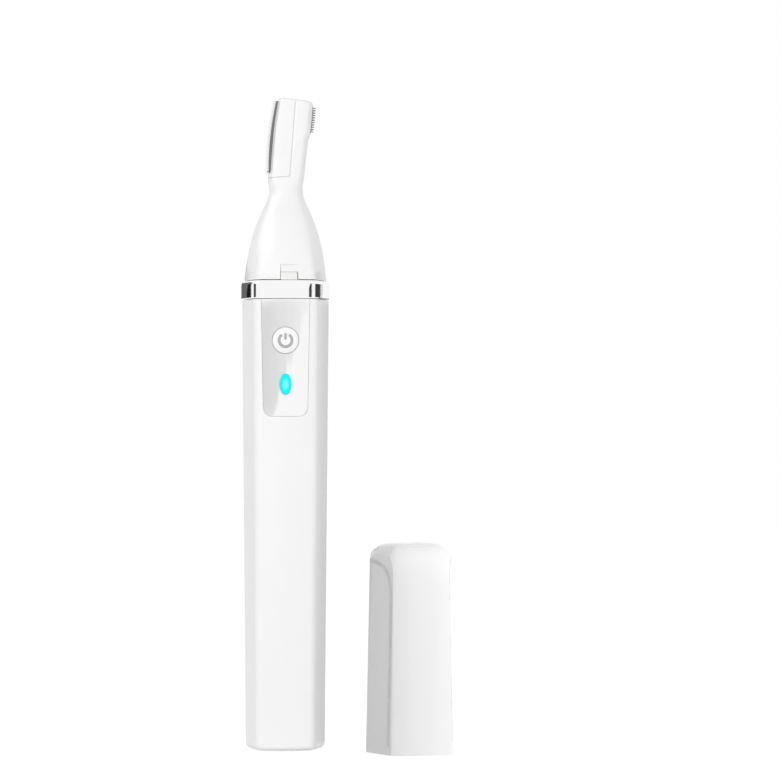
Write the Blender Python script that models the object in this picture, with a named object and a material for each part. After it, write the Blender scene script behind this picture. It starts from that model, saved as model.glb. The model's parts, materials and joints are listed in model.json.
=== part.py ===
"""Two-sided eyebrow and face hair trimmer: pen-shaped handle, pull-off cutting head and a separate cap.

The frame stands on the handle's base: +Z runs up the handle, the front with the button looks along -Y,
and the origin is the middle of the base. Lengths are written in millimetres and turned into metres by MM.
"""
import math

import bpy
import numpy as np
from mathutils import Vector

MM = 0.001

# Overall sizes
HANDLE_LENGTH = 93.3 * MM
HANDLE_TOP_WIDTH = 18.1 * MM
HANDLE_BOTTOM_WIDTH = 16.55 * MM
HANDLE_TOP_DEPTH = 17.6 * MM
HANDLE_BOTTOM_DEPTH = 16.2 * MM
RING_HEIGHT = 3.75 * MM

# Clearances
SEAM = 0.12 * MM
FLAT_GAP = 0.06 * MM
BOND = 0.01 * MM
INLAY_GAP = 0.05 * MM
PIN_GAP = 0.1 * MM
NOSE_GAP = 0.15 * MM
FORK_GAP = 0.16 * MM
RUNNING_GAP = 0.25 * MM
SLIDING_GAP = 0.3 * MM

# Housing section, as shares of its half width and half depth
CORNER_X = 0.68
CORNER_Y = 0.89
CORNER_REACH = 0.1
EDGE_REACH = 0.24

# Housing
HOUSING_WALL = 1.6 * MM
HOUSING_FLOOR = 2.0 * MM
BASE_ROUND = 1.1 * MM

# Front panel, button and light, placed down from the rim
PANEL_DEPTH = 0.9 * MM
PANEL_TOP_HALF_WIDTH = 5.05 * MM
PANEL_BOTTOM_HALF_WIDTH = 4.6 * MM
PANEL_LENGTH = 24.3 * MM
PANEL_CORNER = 2.2 * MM
BUTTON_DROP = 8.6 * MM
BUTTON_RADIUS = 2.72 * MM
BUTTON_PROUD = 0.2 * MM
BUTTON_CROWN = 0.1 * MM
BUTTON_TRAVEL = 0.35 * MM
BUTTON_FLANGE = 0.4 * MM
BUTTON_FLANGE_THICKNESS = 0.3 * MM
BUTTON_STEM_RADIUS = 1.0 * MM
LIGHT_DROP = 17.7 * MM
LIGHT_HALF_WIDTH = 1.2 * MM
LIGHT_HALF_HEIGHT = 2.2 * MM

# Circuit board and what it carries
BOARD_THICKNESS = 0.8 * MM
BOARD_INSET = 0.5 * MM
BOARD_FOOT = 1.0 * MM
BOARD_TOP_DROP = 2.3 * MM
BOARD_SIDE_GAP = 0.75 * MM
BOARD_SHOULDER = 1.4 * MM
SWITCH_HALF = 1.6 * MM
SWITCH_THICKNESS = 0.65 * MM
PLUNGER_RADIUS = 0.7 * MM
LAMP_HALF = 0.8 * MM
LAMP_THICKNESS = 0.6 * MM
SCREW_EDGE = 0.2 * MM
SCREW_HEAD_RADIUS = 1.0 * MM
SCREW_HEAD_THICKNESS = 0.5 * MM
SCREW_SHANK_RADIUS = 0.45 * MM
SCREW_LENGTH = 2.6 * MM

# Charging socket
SOCKET_HALF_WIDTH = 4.5 * MM
SOCKET_THICKNESS = 3.2 * MM
SOCKET_BOTTOM = 0.7 * MM
SOCKET_LENGTH = 7.3 * MM
SOCKET_WALL = 0.3 * MM
TONGUE_HALF_WIDTH = 3.3 * MM
TONGUE_THICKNESS = 0.7 * MM

# Battery cell
CELL_BED = 1.27 * MM
CELL_TO_MOTOR = 15.5 * MM
CELL_LIFT = 1.05 * MM
CELL_TO_BOARD = 0.5 * MM
TAB_THICKNESS = 0.15 * MM
TAB_HALF_WIDTH = 1.4 * MM

# Motor
MOTOR_RADIUS = 5.0 * MM
MOTOR_TO_BOARD = 1.2 * MM
MOTOR_LENGTH = 19.0 * MM
MOTOR_BELOW_SOCKET = 4.9 * MM
MOTOR_BOSS_RADIUS = 2.0 * MM
MOTOR_BOSS_HEIGHT = 0.8 * MM
END_CAP_HEIGHT = 1.6 * MM
TERMINAL_LENGTH = 1.9 * MM
SHAFT_RADIUS = 0.5 * MM

# Eccentric, and the rocker above it, placed from the head's lower rim
ECCENTRICITY = 0.6 * MM
ECCENTRIC_PIN_RADIUS = 0.6 * MM
ECCENTRIC_RISE = 3.64 * MM
HUB_RADIUS = 2.0 * MM
HUB_HEIGHT = 2.8 * MM
HUB_DROP = 0.56 * MM
FORK_RISE = 2.84 * MM
PIVOT_RISE = 9.24 * MM
PIVOT_X = 2.6 * MM
NOSE_X = -0.8 * MM
NOSE_RADIUS = 0.6 * MM
ROCKER_HALF_THICKNESS = 1.2 * MM
ROCKER_HUB_RADIUS = 1.3 * MM
ARM_RADIUS = 0.75 * MM
TINE_THICKNESS = 0.8 * MM
TINE_REACH = 1.5 * MM
ROCKER_PIN_RADIUS = 0.55 * MM
EAR_THICKNESS = 1.0 * MM

# Head socket in the handle, spigot on the head, and the key that sets which way the head goes on
SPIGOT_INSET = 3.2 * MM
SPIGOT_WALL = 1.0 * MM
SPIGOT_LENGTH = 4.45 * MM
SOCKET_COLLAR = 0.8 * MM
SEAL_GROOVE = 0.3 * MM
HEAD_STEP = 0.45 * MM
HEAD_WALL = 1.25 * MM
HEAD_PLATE = 1.0 * MM
KEY_LEFT = -1.0 * MM
KEY_RIGHT = 2.4 * MM
KEY_HEIGHT = 1.7 * MM
KEY_THICKNESS = 1.05 * MM
NOTCH_RIGHT = 2.9 * MM
NOTCH_HEIGHT = 3.05 * MM
NOTCH_DEPTH = 0.75 * MM

# Cone and neck
NECK_HALF_WIDTH = 3.5 * MM
NECK_HALF_DEPTH = 3.45 * MM
NECK_RISE = 19.2 * MM

# Leaning spine, measured across and along its own slope
LEAN = math.radians(6.0)
LEAN_X = -0.2 * MM
LEAN_ABOVE_NECK = 3.24 * MM
SPINE_LEFT = -3.05 * MM
SPINE_RIGHT = 4.12 * MM
SPINE_BUMP = 0.45 * MM
SPINE_HALF_DEPTH = 2.6 * MM
SPINE_TOP = 15.7 * MM
GROOVE_TOP = 0.6 * MM
GROOVE_BOTTOM = 1.15 * MM
GROOVE_CORNER = 0.8 * MM
GROOVE_HALF_WIDTH = 0.25 * MM
GROOVE_DEPTH = 0.08 * MM
SEAM_LEFT = -1.75 * MM
SEAM_RIGHT = -0.75 * MM

# Combs and blades
TOOTH_PITCH = 0.5 * MM
SLOT_WIDTH = 0.24 * MM
SLOT_DEPTH = 0.6 * MM
TOOTH_TAPER = 0.04 * MM
COMB_THICKNESS = 0.45 * MM
BLADE_THICKNESS = 0.4 * MM
COMB_FRONT = -0.75 * MM
LONG_COMB_BOTTOM = -0.3 * MM
LONG_COMB_MARGIN = 0.7 * MM
LONG_COMB_TIP = -4.42 * MM
LONG_COMB_BOW = 0.45 * MM
LONG_COMB_ROOT = -0.6 * MM
LONG_BLADE_ROOT = 0.4 * MM
SHORT_COMB_BOTTOM = 9.3 * MM
SHORT_COMB_MARGIN = 1.3 * MM
SHORT_COMB_TIP = 5.12 * MM
SHORT_COMB_BOW = 0.08 * MM
SHORT_COMB_ROOT = 2.3 * MM
SHORT_BLADE_ROOT = 1.1 * MM
BLADE_SETBACK = 0.25 * MM
CARRIER_THICKNESS = 1.05 * MM
CARRIER_LEFT = -2.1 * MM
CARRIER_RIGHT = 2.7 * MM
CARRIER_MARGIN = 0.7 * MM
CARRIER_BOTTOM = -1.6 * MM
STEM_OFFSET = 0.08 * MM
STEM_HALF_WIDTH = 1.0 * MM
STEM_TOP = -2.1 * MM
STEM_STEP = 0.9 * MM
STEM_END = 0.75 * MM
SPRING_LENGTH = 5.2 * MM
SPRING_HALF_WIDTH = 0.8 * MM
SPRING_THICKNESS = 0.1 * MM
SPRING_BOW = 0.1 * MM

# Cap, standing beside the handle
CAP_X = 25.9 * MM
CAP_Y = -8.0 * MM
CAP_TURN = math.radians(13.0)
CAP_FIT = 0.08 * MM
CAP_LIP_WALL = 0.9 * MM
CAP_LIP_HEIGHT = 6.0 * MM
CAP_WALL = 1.2 * MM
CAP_TAPER_WIDTH = 0.9 * MM
CAP_TAPER_DEPTH = 0.65 * MM
CAP_HEADROOM = 3.25 * MM
CAP_ROOF = 1.6 * MM
CAP_SHOULDER = 6.0 * MM
CAP_SHOULDER_HEIGHT = 8.6 * MM
CAP_SWELL = 0.38 * MM
CAP_ROUNDNESS = 3.0

WHITE = (0.86, 0.86, 0.855)
PANEL_GREY = (0.74, 0.745, 0.74)
CHROME = (0.8, 0.8, 0.8)
STEEL = (0.3, 0.3, 0.31)
CYAN = (0.05, 0.9, 0.9)
LAMP_YELLOW = (0.9, 0.85, 0.5)
CELL_BLUE = (0.1, 0.25, 0.55)
BOARD_GREEN = (0.02, 0.2, 0.09)
BLACK = (0.03, 0.03, 0.03)
BRASS = (0.75, 0.6, 0.3)
RUBBER = (0.06, 0.06, 0.065)


# Building blocks

def clear_scene():
    """Remove every object that the scene starts with."""
    for item in list(bpy.data.objects):
        bpy.data.objects.remove(item, do_unlink=True)


def material(name, colour, roughness=0.4, metallic=0.0):
    """Make a plain material with one colour."""
    mat = bpy.data.materials.new(name)
    mat.use_nodes = True
    shader = mat.node_tree.nodes["Principled BSDF"]
    shader.inputs["Base Color"].default_value = (*colour, 1.0)
    shader.inputs["Roughness"].default_value = roughness
    shader.inputs["Metallic"].default_value = metallic
    return mat


def add_object(name, shape, parent=None, at=(0, 0, 0), turn=(0, 0, 0)):
    """Make an object from (vertices, faces), placed by its location and rotation under its parent."""
    verts, faces = shape
    mesh = bpy.data.meshes.new(name)
    mesh.from_pydata([tuple(v) for v in verts], [], faces)
    mesh.validate()
    obj = bpy.data.objects.new(name, mesh)
    bpy.context.scene.collection.objects.link(obj)
    obj.location = at
    obj.rotation_euler = turn
    obj.parent = parent
    return obj


def piece(name, shape, colour, roughness=0.4, metallic=0.0, smooth=True, **place):
    """Make one sub-part with its own material, smooth except at its sharp edges."""
    obj = add_object(name, shape, **place)
    obj.data.materials.append(material(name, colour, roughness, metallic))
    if smooth:
        obj.data.shade_smooth()
        obj.data.set_sharp_from_angle(angle=math.radians(35))
    return obj


def tool(name, shape, **place):
    """Make a hidden shape that only cuts, joins or trims other pieces."""
    obj = add_object(name, shape, **place)
    obj.hide_render = True
    obj.display_type = "WIRE"
    return obj


def combine(target, other, operation):
    """Add one Boolean step to a piece."""
    step = target.modifiers.new(other.name, "BOOLEAN")
    step.operation = operation
    step.solver = "EXACT"
    step.object = other


def cut(target, *cutters):
    """Take cutters away from a piece."""
    for cutter in cutters:
        combine(target, cutter, "DIFFERENCE")


def join(target, *others):
    """Fuse hidden shapes into a piece."""
    for other in others:
        combine(target, other, "UNION")


def keep_inside(target, skin):
    """Trim a piece to what lies inside a skin."""
    combine(target, skin, "INTERSECT")


def empty(name, at, turn=(0, 0, 0)):
    """Make an empty that marks a joint's axis."""
    obj = bpy.data.objects.new(name, None)
    bpy.context.scene.collection.objects.link(obj)
    obj.location = at
    obj.rotation_euler = turn
    return obj


def flat_faces(verts, quad):
    """A four-sided face as it is where its corners lie in one plane, or else as two triangles."""
    a, b, c, d = (verts[corner] for corner in quad)
    normal = np.cross(c - a, d - b)
    if abs(np.dot(normal, b - a)) < 0.0001 * MM * np.linalg.norm(normal):
        return [quad]
    return [(quad[0], quad[1], quad[2]), (quad[0], quad[2], quad[3])]


def loft(rings, closed=False):
    """Skin rings of equally many points; capped at both ends, or closed into a ring body."""
    count = len(rings[0])
    verts = np.concatenate([np.asarray(ring, dtype=float) for ring in rings])
    faces = []
    spans = len(rings) if closed else len(rings) - 1
    for k in range(spans):
        low = k * count
        high = ((k + 1) % len(rings)) * count
        for i in range(count):
            j = (i + 1) % count
            faces += flat_faces(verts, (low + i, low + j, high + j, high + i))
    if not closed:
        faces.append(tuple(reversed(range(count))))
        top = (len(rings) - 1) * count
        faces.append(tuple(range(top, top + count)))
    return verts, faces


def at_height(outline, z):
    """Lift a flat outline, an array of x and y, to one height."""
    flat = np.asarray(outline, dtype=float)
    return np.column_stack([flat, np.full(len(flat), z)])


def circle(radius, steps=24, centre=(0.0, 0.0), start=math.radians(2)):
    """Points of a circle, anticlockwise; the start keeps them off the planes that cut the pieces in half."""
    angle = start + np.arange(steps) * 2 * math.pi / steps
    return np.column_stack([centre[0] + radius * np.cos(angle), centre[1] + radius * np.sin(angle)])


def turned(profile, steps=24, centre=(0.0, 0.0)):
    """Solid turned about the vertical through centre; profile lists radius and height, bottom to top."""
    return loft([at_height(circle(r, steps, centre), z) for r, z in profile])


def turned_ring(profile, steps=24):
    """Ring body turned about the vertical; profile runs up its outside and down its inside."""
    return loft([at_height(circle(r, steps), z) for r, z in profile], closed=True)


def bar(radius, low, high, steps=24, centre=(0.0, 0.0)):
    """Upright round bar."""
    return turned([(radius, low), (radius, high)], steps, centre)


def box(low, high):
    """Box between two corners."""
    (x0, y0, z0), (x1, y1, z1) = low, high
    outline = np.array([(x0, y0), (x1, y0), (x1, y1), (x0, y1)])
    return loft([at_height(outline, z0), at_height(outline, z1)])


def slab(outline, front, back):
    """Extrude an outline in X and Z, anticlockwise from the front, between two values of Y."""
    flat = np.asarray(outline, dtype=float)
    rings = [np.column_stack([flat[:, 0], np.full(len(flat), y), flat[:, 1]]) for y in (back, front)]
    return loft(rings)


def rod(radius, front, back, x=0.0, z=0.0, steps=20):
    """Round bar along Y."""
    return slab(circle(radius, steps, (x, z)), front, back)


def capsule(start, end, radius, steps=6):
    """Outline in X and Z of a bar with round ends."""
    start, end = np.array(start), np.array(end)
    heading = math.atan2(end[1] - start[1], end[0] - start[0])
    turn = np.linspace(-math.pi / 2, math.pi / 2, steps + 1) + heading
    nose = end + radius * np.column_stack([np.cos(turn), np.sin(turn)])
    tail = start - radius * np.column_stack([np.cos(turn), np.sin(turn)])
    return np.concatenate([nose, tail])


def corner_curve(a, b, c, values):
    """Points of a rounded corner from a to c, drawn towards b."""
    a, b, c = np.array(a), np.array(b), np.array(c)
    return [(1 - t) ** 2 * a + 2 * t * (1 - t) * b + t * t * c for t in values]


def lerp(a, b, t):
    """Blend two values."""
    return a + (b - a) * t


# Housing outline

def barrel_section():
    """Unit outline of the housing: bowed front and back, two narrow flats at each side, soft corners."""
    corner = np.array([CORNER_X, CORNER_Y])
    edge = np.array([1.0, 0.0])
    along = (corner - edge) / np.linalg.norm(corner - edge)
    above = edge + EDGE_REACH * along
    below = above * np.array([1.0, -1.0])
    bow_x = CORNER_X - CORNER_REACH

    def bow(x):
        return np.array([x, 1.0 - (1.0 - CORNER_Y) * (x / CORNER_X) ** 2])

    quarter = corner_curve(below, edge, above, (0.5, 0.7, 0.85, 1.0))
    quarter += corner_curve(corner - CORNER_REACH * along, corner, bow(bow_x), (0.0, 0.35, 0.7, 1.0))
    quarter += [bow(bow_x * 0.6), bow(bow_x * 0.3)]
    quarter = np.array(quarter)
    left = quarter[1:][::-1] * np.array([-1.0, 1.0])
    upper = np.concatenate([quarter, [[0.0, 1.0]], left])
    lower = upper[::-1] * np.array([1.0, -1.0])
    outline = np.concatenate([upper, [[-quarter[0][0], 0.0]], lower])
    outline[:, 0] /= outline[:, 0].max()
    return outline


SECTION = barrel_section()
SECTION_ANGLE = np.arctan2(SECTION[:, 1], SECTION[:, 0])
ROUND_SECTION = np.column_stack([np.cos(SECTION_ANGLE), np.sin(SECTION_ANGLE)])


def handle_half_width(z):
    """Half width of the handle at a height."""
    return lerp(HANDLE_BOTTOM_WIDTH, HANDLE_TOP_WIDTH, z / HANDLE_LENGTH) / 2


def handle_half_depth(z):
    """Half depth of the handle at a height."""
    return lerp(HANDLE_BOTTOM_DEPTH, HANDLE_TOP_DEPTH, z / HANDLE_LENGTH) / 2


def handle_ring(z, inset=0.0, level=None):
    """Outline of the handle at a height, drawn in by inset; level puts it at another height."""
    size = np.array([handle_half_width(z) - inset, handle_half_depth(z) - inset])
    return at_height(SECTION * size, z if level is None else level)


# Places that several pieces share

def head_seat():
    """Height of the flange top under the head."""
    return HANDLE_LENGTH + RING_HEIGHT + FLAT_GAP


def head_rim():
    """Height of the head's lower rim."""
    return head_seat() + RUNNING_GAP


def spigot_radius():
    """Radius of the head's spigot, which leaves room for the collar, the flange and the ring around it."""
    return min(HANDLE_TOP_WIDTH, HANDLE_TOP_DEPTH) / 2 - SPIGOT_INSET


def socket_floor():
    """Height of the floor of the head's socket in the handle."""
    return head_seat() - SPIGOT_LENGTH - RUNNING_GAP


def lean_rise():
    """Height of the spine's own zero above the head's lower rim."""
    return NECK_RISE + LEAN_ABOVE_NECK


def long_comb_top():
    """Upper end of the long comb along the spine."""
    return SPINE_TOP - LONG_COMB_MARGIN


def short_comb_top():
    """Upper end of the short comb along the spine."""
    return SPINE_TOP - SHORT_COMB_MARGIN


def carrier_top():
    """Upper end of the blade carrier along the spine."""
    return long_comb_top() - CARRIER_MARGIN


def board_front():
    """Front face of the circuit board: inside the wall at the foot, clear of a screw's head at the rim."""
    foot = HANDLE_BOTTOM_DEPTH / 2 - BOARD_INSET
    rim = HANDLE_TOP_DEPTH / 2 - SCREW_HEAD_THICKNESS - SLIDING_GAP
    return HOUSING_WALL - min(foot, rim)


def board_back():
    """Rear face of the circuit board."""
    return board_front() + BOARD_THICKNESS


def board_half_width(z):
    """Half width that the bowed wall leaves the board at a height."""
    quarter = SECTION[(SECTION[:, 0] >= 0) & (SECTION[:, 1] >= 0)]
    quarter = quarter[np.argsort(quarter[:, 1])]
    reach = -board_front() / (handle_half_depth(z) - HOUSING_WALL)
    share = np.interp(reach, quarter[:, 1], quarter[:, 0])
    return share * (handle_half_width(z) - HOUSING_WALL) - BOARD_SIDE_GAP


def button_height():
    """Height of the button's axis."""
    return HANDLE_LENGTH - BUTTON_DROP


def light_height():
    """Height of the middle of the light."""
    return HANDLE_LENGTH - LIGHT_DROP


def motor_top():
    """Height of the motor's upper face."""
    return socket_floor() - MOTOR_BELOW_SOCKET


def motor_bottom():
    """Height of the motor can's lower edge."""
    return motor_top() - MOTOR_LENGTH


def motor_half_flat():
    """Half the motor's depth between its flats, which clears the back of the board."""
    return -board_back() - MOTOR_TO_BOARD


def cell_bottom():
    """Height of the battery cell's lower face, above the charging socket."""
    return SOCKET_BOTTOM + SOCKET_LENGTH + CELL_LIFT


def cell_top():
    """Height of the cell's upper face, which leaves room for the motor's contacts above it."""
    return motor_bottom() - CELL_TO_MOTOR


def cell_radius():
    """Radius of the cell, between the board and the bed at the rear wall, and between the side walls."""
    rear = min(handle_half_depth(cell_bottom()), handle_half_depth(cell_top())) - HOUSING_WALL
    side = min(handle_half_width(cell_bottom()), handle_half_width(cell_top())) - HOUSING_WALL
    return min((rear - CELL_BED - board_back() - CELL_TO_BOARD) / 2, side - CELL_BED)


def cell_shift():
    """How far the cell's axis lies behind the handle's axis, to clear the board."""
    return cell_radius() + CELL_TO_BOARD + board_back()


def board_top():
    """Height of the board's upper edge."""
    return HANDLE_LENGTH - BOARD_TOP_DROP


def screw_heights():
    """Heights of the lower and upper board screws."""
    return cell_top() + 2.75 * MM, board_top() - SCREW_HEAD_RADIUS - SCREW_EDGE


def socket_back():
    """Rear face of the charging socket, which stands on the back of the board."""
    return board_back() + FLAT_GAP + SOCKET_THICKNESS


def pivot_height():
    """Height of the rocker's cross pin."""
    return head_rim() + PIVOT_RISE


def fork_height():
    """Height where the eccentric's pin drives the fork."""
    return head_rim() + FORK_RISE


def eccentric_top():
    """Height of the end of the eccentric's pin."""
    return head_rim() + ECCENTRIC_RISE


def hub_top():
    """Height of the top of the eccentric's hub."""
    return head_rim() - HUB_DROP


def rocker_swing():
    """Largest swing that the eccentric gives the rocker, in radians."""
    return math.asin(ECCENTRICITY / (pivot_height() - fork_height()))


def blade_stroke():
    """Travel of the blades each way, with a little to spare."""
    return (PIVOT_X - NOSE_X) * math.cos(LEAN) * rocker_swing() + BOND


def nose_place():
    """Where the rocker's nose lies across and along the spine."""
    off_x, off_z = NOSE_X - LEAN_X, PIVOT_RISE - lean_rise()
    return off_x * math.cos(LEAN) - off_z * math.sin(LEAN), off_x * math.sin(LEAN) + off_z * math.cos(LEAN)


def stem_centre():
    """Middle of the carrier's stem across the spine, beside the rocker's nose."""
    return nose_place()[0] - STEM_OFFSET


def carrier_front():
    """Front face of the blade carrier, just behind the moving blades."""
    return COMB_FRONT + COMB_THICKNESS + 2 * FLAT_GAP + BLADE_THICKNESS + FLAT_GAP


def carrier_back():
    """Rear face of the blade carrier."""
    return carrier_front() + CARRIER_THICKNESS


# Handle

def make_handle_sleeve():
    """Long cup-shaped housing with a rounded base."""
    rings = []
    for angle in (0, 30, 60, 90):
        tilt = math.radians(angle)
        z = BASE_ROUND * (1 - math.cos(tilt))
        rings.append(handle_ring(z, BASE_ROUND * (1 - math.sin(tilt))))
    rings.append(handle_ring(HANDLE_LENGTH - SEAM))
    rings.append(handle_ring(HANDLE_LENGTH, SEAM))
    rings.append(handle_ring(HANDLE_LENGTH, HOUSING_WALL))
    rings.append(handle_ring(HOUSING_FLOOR, HOUSING_WALL))
    return piece("handle_sleeve", loft(rings), WHITE, 0.15)


def panel_outline(margin):
    """U-shaped outline of the front panel in X and Z, open at the housing's rim."""
    top = HANDLE_LENGTH + 2 * MM
    bottom = HANDLE_LENGTH - PANEL_LENGTH - margin
    wide = PANEL_TOP_HALF_WIDTH + margin
    narrow = PANEL_BOTTOM_HALF_WIDTH + margin
    reach = PANEL_CORNER + margin
    corner = [(narrow - reach, bottom), (narrow, bottom), (narrow, bottom + reach)]
    right = corner_curve(*corner, np.linspace(0, 1, 6))
    left = [p * np.array([-1.0, 1.0]) for p in right[::-1]]
    return np.array(left + right + [(wide, top), (-wide, top)])


def panel_bow(reach):
    """How far the panel's inner face falls back from its middle, at a reach to one side of the button."""
    half_width = handle_half_width(button_height()) - PANEL_DEPTH
    half_depth = handle_half_depth(button_height()) - PANEL_DEPTH
    return half_depth * (1 - CORNER_Y) * (reach / (CORNER_X * half_width)) ** 2


def oval(half_width, half_height, centre_z, steps=20):
    """Upright oval in X and Z."""
    angle = np.arange(steps) * 2 * math.pi / steps
    return np.column_stack([half_width * np.cos(angle), centre_z + half_height * np.sin(angle)])


def make_front_panel(sleeve):
    """Panel that follows the bowed front, its pocket in the housing, and the holes through both."""
    front, inside = -HANDLE_TOP_DEPTH, board_front() + MM
    low = HANDLE_LENGTH - PANEL_LENGTH - 5 * MM
    skin = tool("panel_skin", loft([handle_ring(z, INLAY_GAP / 2) for z in (low, HANDLE_LENGTH)]))
    core_heights = (low - MM, HANDLE_LENGTH + 5 * MM)
    core = tool("panel_core", loft([handle_ring(z, PANEL_DEPTH) for z in core_heights]))
    floor = tool("pocket_floor", loft([handle_ring(z, PANEL_DEPTH + SEAM) for z in core_heights]))
    pocket = tool("panel_pocket", slab(panel_outline(INLAY_GAP), front, inside))
    cut(pocket, floor)
    cut(sleeve, pocket)
    panel = piece("front_panel", slab(panel_outline(0.0), front, inside), PANEL_GREY, 0.08)
    keep_inside(panel, skin)
    cut(panel, core)
    z = button_height()
    button_hole = tool("button_hole", rod(BUTTON_RADIUS + PIN_GAP, front, inside, z=z, steps=28))
    flange_hole = tool("flange_hole", rod(BUTTON_RADIUS + BUTTON_FLANGE + RUNNING_GAP, front, inside, z=z))
    light = oval(LIGHT_HALF_WIDTH + INLAY_GAP, LIGHT_HALF_HEIGHT + INLAY_GAP, light_height())
    light_hole = tool("light_hole", slab(light, front, inside))
    cut(panel, button_hole, light_hole)
    cut(sleeve, flange_hole, light_hole)
    return panel


def make_power_button():
    """Round button with a retaining flange and a stem on its own axis, and the switch plunger behind it."""
    z = button_height()
    face = -handle_half_depth(z)
    wide = BUTTON_RADIUS + BUTTON_FLANGE
    flange_top = -(PANEL_DEPTH + panel_bow(wide) + FLAT_GAP)
    flange_low = flange_top - BUTTON_FLANGE_THICKNESS
    stem_end = face - (board_front() - SWITCH_THICKNESS - BUTTON_TRAVEL - FLAT_GAP)
    dome = BUTTON_RADIUS - 0.3 * MM
    profile = [(BUTTON_STEM_RADIUS, stem_end), (BUTTON_STEM_RADIUS, flange_low), (wide, flange_low),
               (wide, flange_top), (BUTTON_RADIUS, flange_top), (BUTTON_RADIUS, BUTTON_PROUD - 0.2 * MM),
               (dome, BUTTON_PROUD), (dome * 0.6, BUTTON_PROUD + 0.8 * BUTTON_CROWN),
               (dome * 0.2, BUTTON_PROUD + BUTTON_CROWN)]
    forward = (math.pi / 2, 0, 0)
    button = piece("power_button", turned(profile, 28), WHITE, 0.2, at=(0, face, z), turn=forward)
    plunger_front = -stem_end + FLAT_GAP
    plunger_back = board_front() - BUTTON_TRAVEL - FLAT_GAP - face
    plunger = rod(PLUNGER_RADIUS, plunger_front, plunger_back, steps=12)
    piece("switch_plunger", plunger, BLACK, 0.5, at=(0, face, z))
    return button


def make_light():
    """Light pipe from the board's lamp to the panel's face, with a softly crowned end."""
    z = light_height()
    face = -handle_half_depth(z)
    chip_front = board_front() - FLAT_GAP - LAMP_THICKNESS
    rings = []
    for share, y in ((1.0, chip_front - 0.1 * MM), (1.0, face + 0.02 * MM), (0.9, face - 0.1 * MM),
                     (0.6, face - 0.16 * MM)):
        outline = oval(LIGHT_HALF_WIDTH * share, LIGHT_HALF_HEIGHT * share, z)
        rings.append(np.column_stack([outline[:, 0], np.full(len(outline), y), outline[:, 1]]))
    piece("led_lens", loft(rings), CYAN, 0.1)
    chip = box((-LAMP_HALF, chip_front, z - LAMP_HALF), (LAMP_HALF, board_front() - FLAT_GAP, z + LAMP_HALF))
    piece("led_chip", chip, LAMP_YELLOW, 0.3, smooth=False)


def make_chrome_ring():
    """Bright ring trapped between the housing's rim and the head, with its upper edge drawn in."""
    low = HANDLE_LENGTH + SEAM
    high = HANDLE_LENGTH + RING_HEIGHT + 0.1 * MM
    profile = [(0.08, low), (0.2, low + 0.2 * MM), (0.2, high - 0.75 * MM), (0.1, high - 0.3 * MM),
               (-0.12, high), (-0.95, high), (-0.95, low)]
    rings = [handle_ring(HANDLE_LENGTH, -grow * MM, z) for grow, z in profile]
    return piece("chrome_ring", loft(rings, closed=True), CHROME, 0.05, 1.0)


def cradle_mouth(name, radius, low, high, back):
    """Straight way from a cradle out to the open front of the chassis."""
    near = (-radius + BOND, -HANDLE_TOP_DEPTH, low + BOND)
    return tool(name, box(near, (radius - BOND, back, high - BOND)))


def make_inner_chassis(sleeve):
    """Moulded frame: battery and motor cradles, bulkheads, flange on the rim, head socket and key tab."""
    inset = HOUSING_WALL + SLIDING_GAP
    flange = 0.95 * MM + RUNNING_GAP
    step = HANDLE_LENGTH + SEAM
    rings = [handle_ring(HOUSING_FLOOR + SLIDING_GAP, inset), handle_ring(step, inset),
             handle_ring(HANDLE_LENGTH, flange, step), handle_ring(HANDLE_LENGTH, flange, head_seat())]
    chassis = piece("inner_chassis", loft(rings), WHITE, 0.4)
    wide = spigot_radius() + RUNNING_GAP + SOCKET_COLLAR
    low, high = socket_floor() - 1.5 * MM, HANDLE_LENGTH + MM
    join(chassis, tool("socket_collar", bar(wide, low, high, 32)))
    cut(sleeve, tool("collar_space", bar(wide + SLIDING_GAP, low - SLIDING_GAP, high, 32)))
    front = board_back() + SLIDING_GAP
    far = HANDLE_TOP_DEPTH
    board_high = board_top() + SLIDING_GAP
    tray = tool("board_space", box((-far, -far, 0), (far, front, board_high)))
    low = cell_bottom() - TAB_THICKNESS - RUNNING_GAP
    high = cell_top() + TAB_THICKNESS + MM
    bore = cell_radius() + SLIDING_GAP
    cell = tool("cell_cradle", bar(bore, low, high, 24, (0, cell_shift())))
    cell_mouth = cradle_mouth("cell_mouth", bore, low, high, cell_shift())
    low = motor_bottom() - END_CAP_HEIGHT - TERMINAL_LENGTH - 2.6 * MM
    high = motor_top() + 0.2 * MM
    bore = MOTOR_RADIUS + SLIDING_GAP
    motor = tool("motor_cradle", bar(bore, low, high))
    motor_mouth = cradle_mouth("motor_mouth", bore, low, high, 0.5 * MM)
    boss = tool("boss_bore", bar(MOTOR_BOSS_RADIUS + SLIDING_GAP, high - MM,
                                 motor_top() + MOTOR_BOSS_HEIGHT + 0.5 * MM))
    shaft = tool("shaft_bore", bar(2 * SHAFT_RADIUS, motor_top(), hub_top(), 16))
    socket = tool("head_socket", bar(spigot_radius() + RUNNING_GAP, socket_floor(), head_seat() + MM, 32))
    seal_seat = tool("seal_seat", bar(HUB_RADIUS + 0.6 * MM, socket_floor() - MM, socket_floor() + MM))
    side = SOCKET_HALF_WIDTH + 0.4 * MM
    usb = tool("socket_space", box((-side, -far, 0), (side, socket_back() + SLIDING_GAP,
                                                      SOCKET_BOTTOM + SOCKET_LENGTH + SLIDING_GAP)))
    cut(chassis, tray, cell, cell_mouth, motor, motor_mouth, boss, shaft, socket, seal_seat, usb)
    for name, z in zip(("lower_screw_hole", "upper_screw_hole"), screw_heights()):
        depth = board_front() + SCREW_LENGTH + 0.5 * MM
        cut(chassis, tool(name, rod(SCREW_SHANK_RADIUS + 0.05 * MM, front - MM, depth, z=z, steps=12)))
    add_key_tab(chassis)
    return chassis


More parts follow.
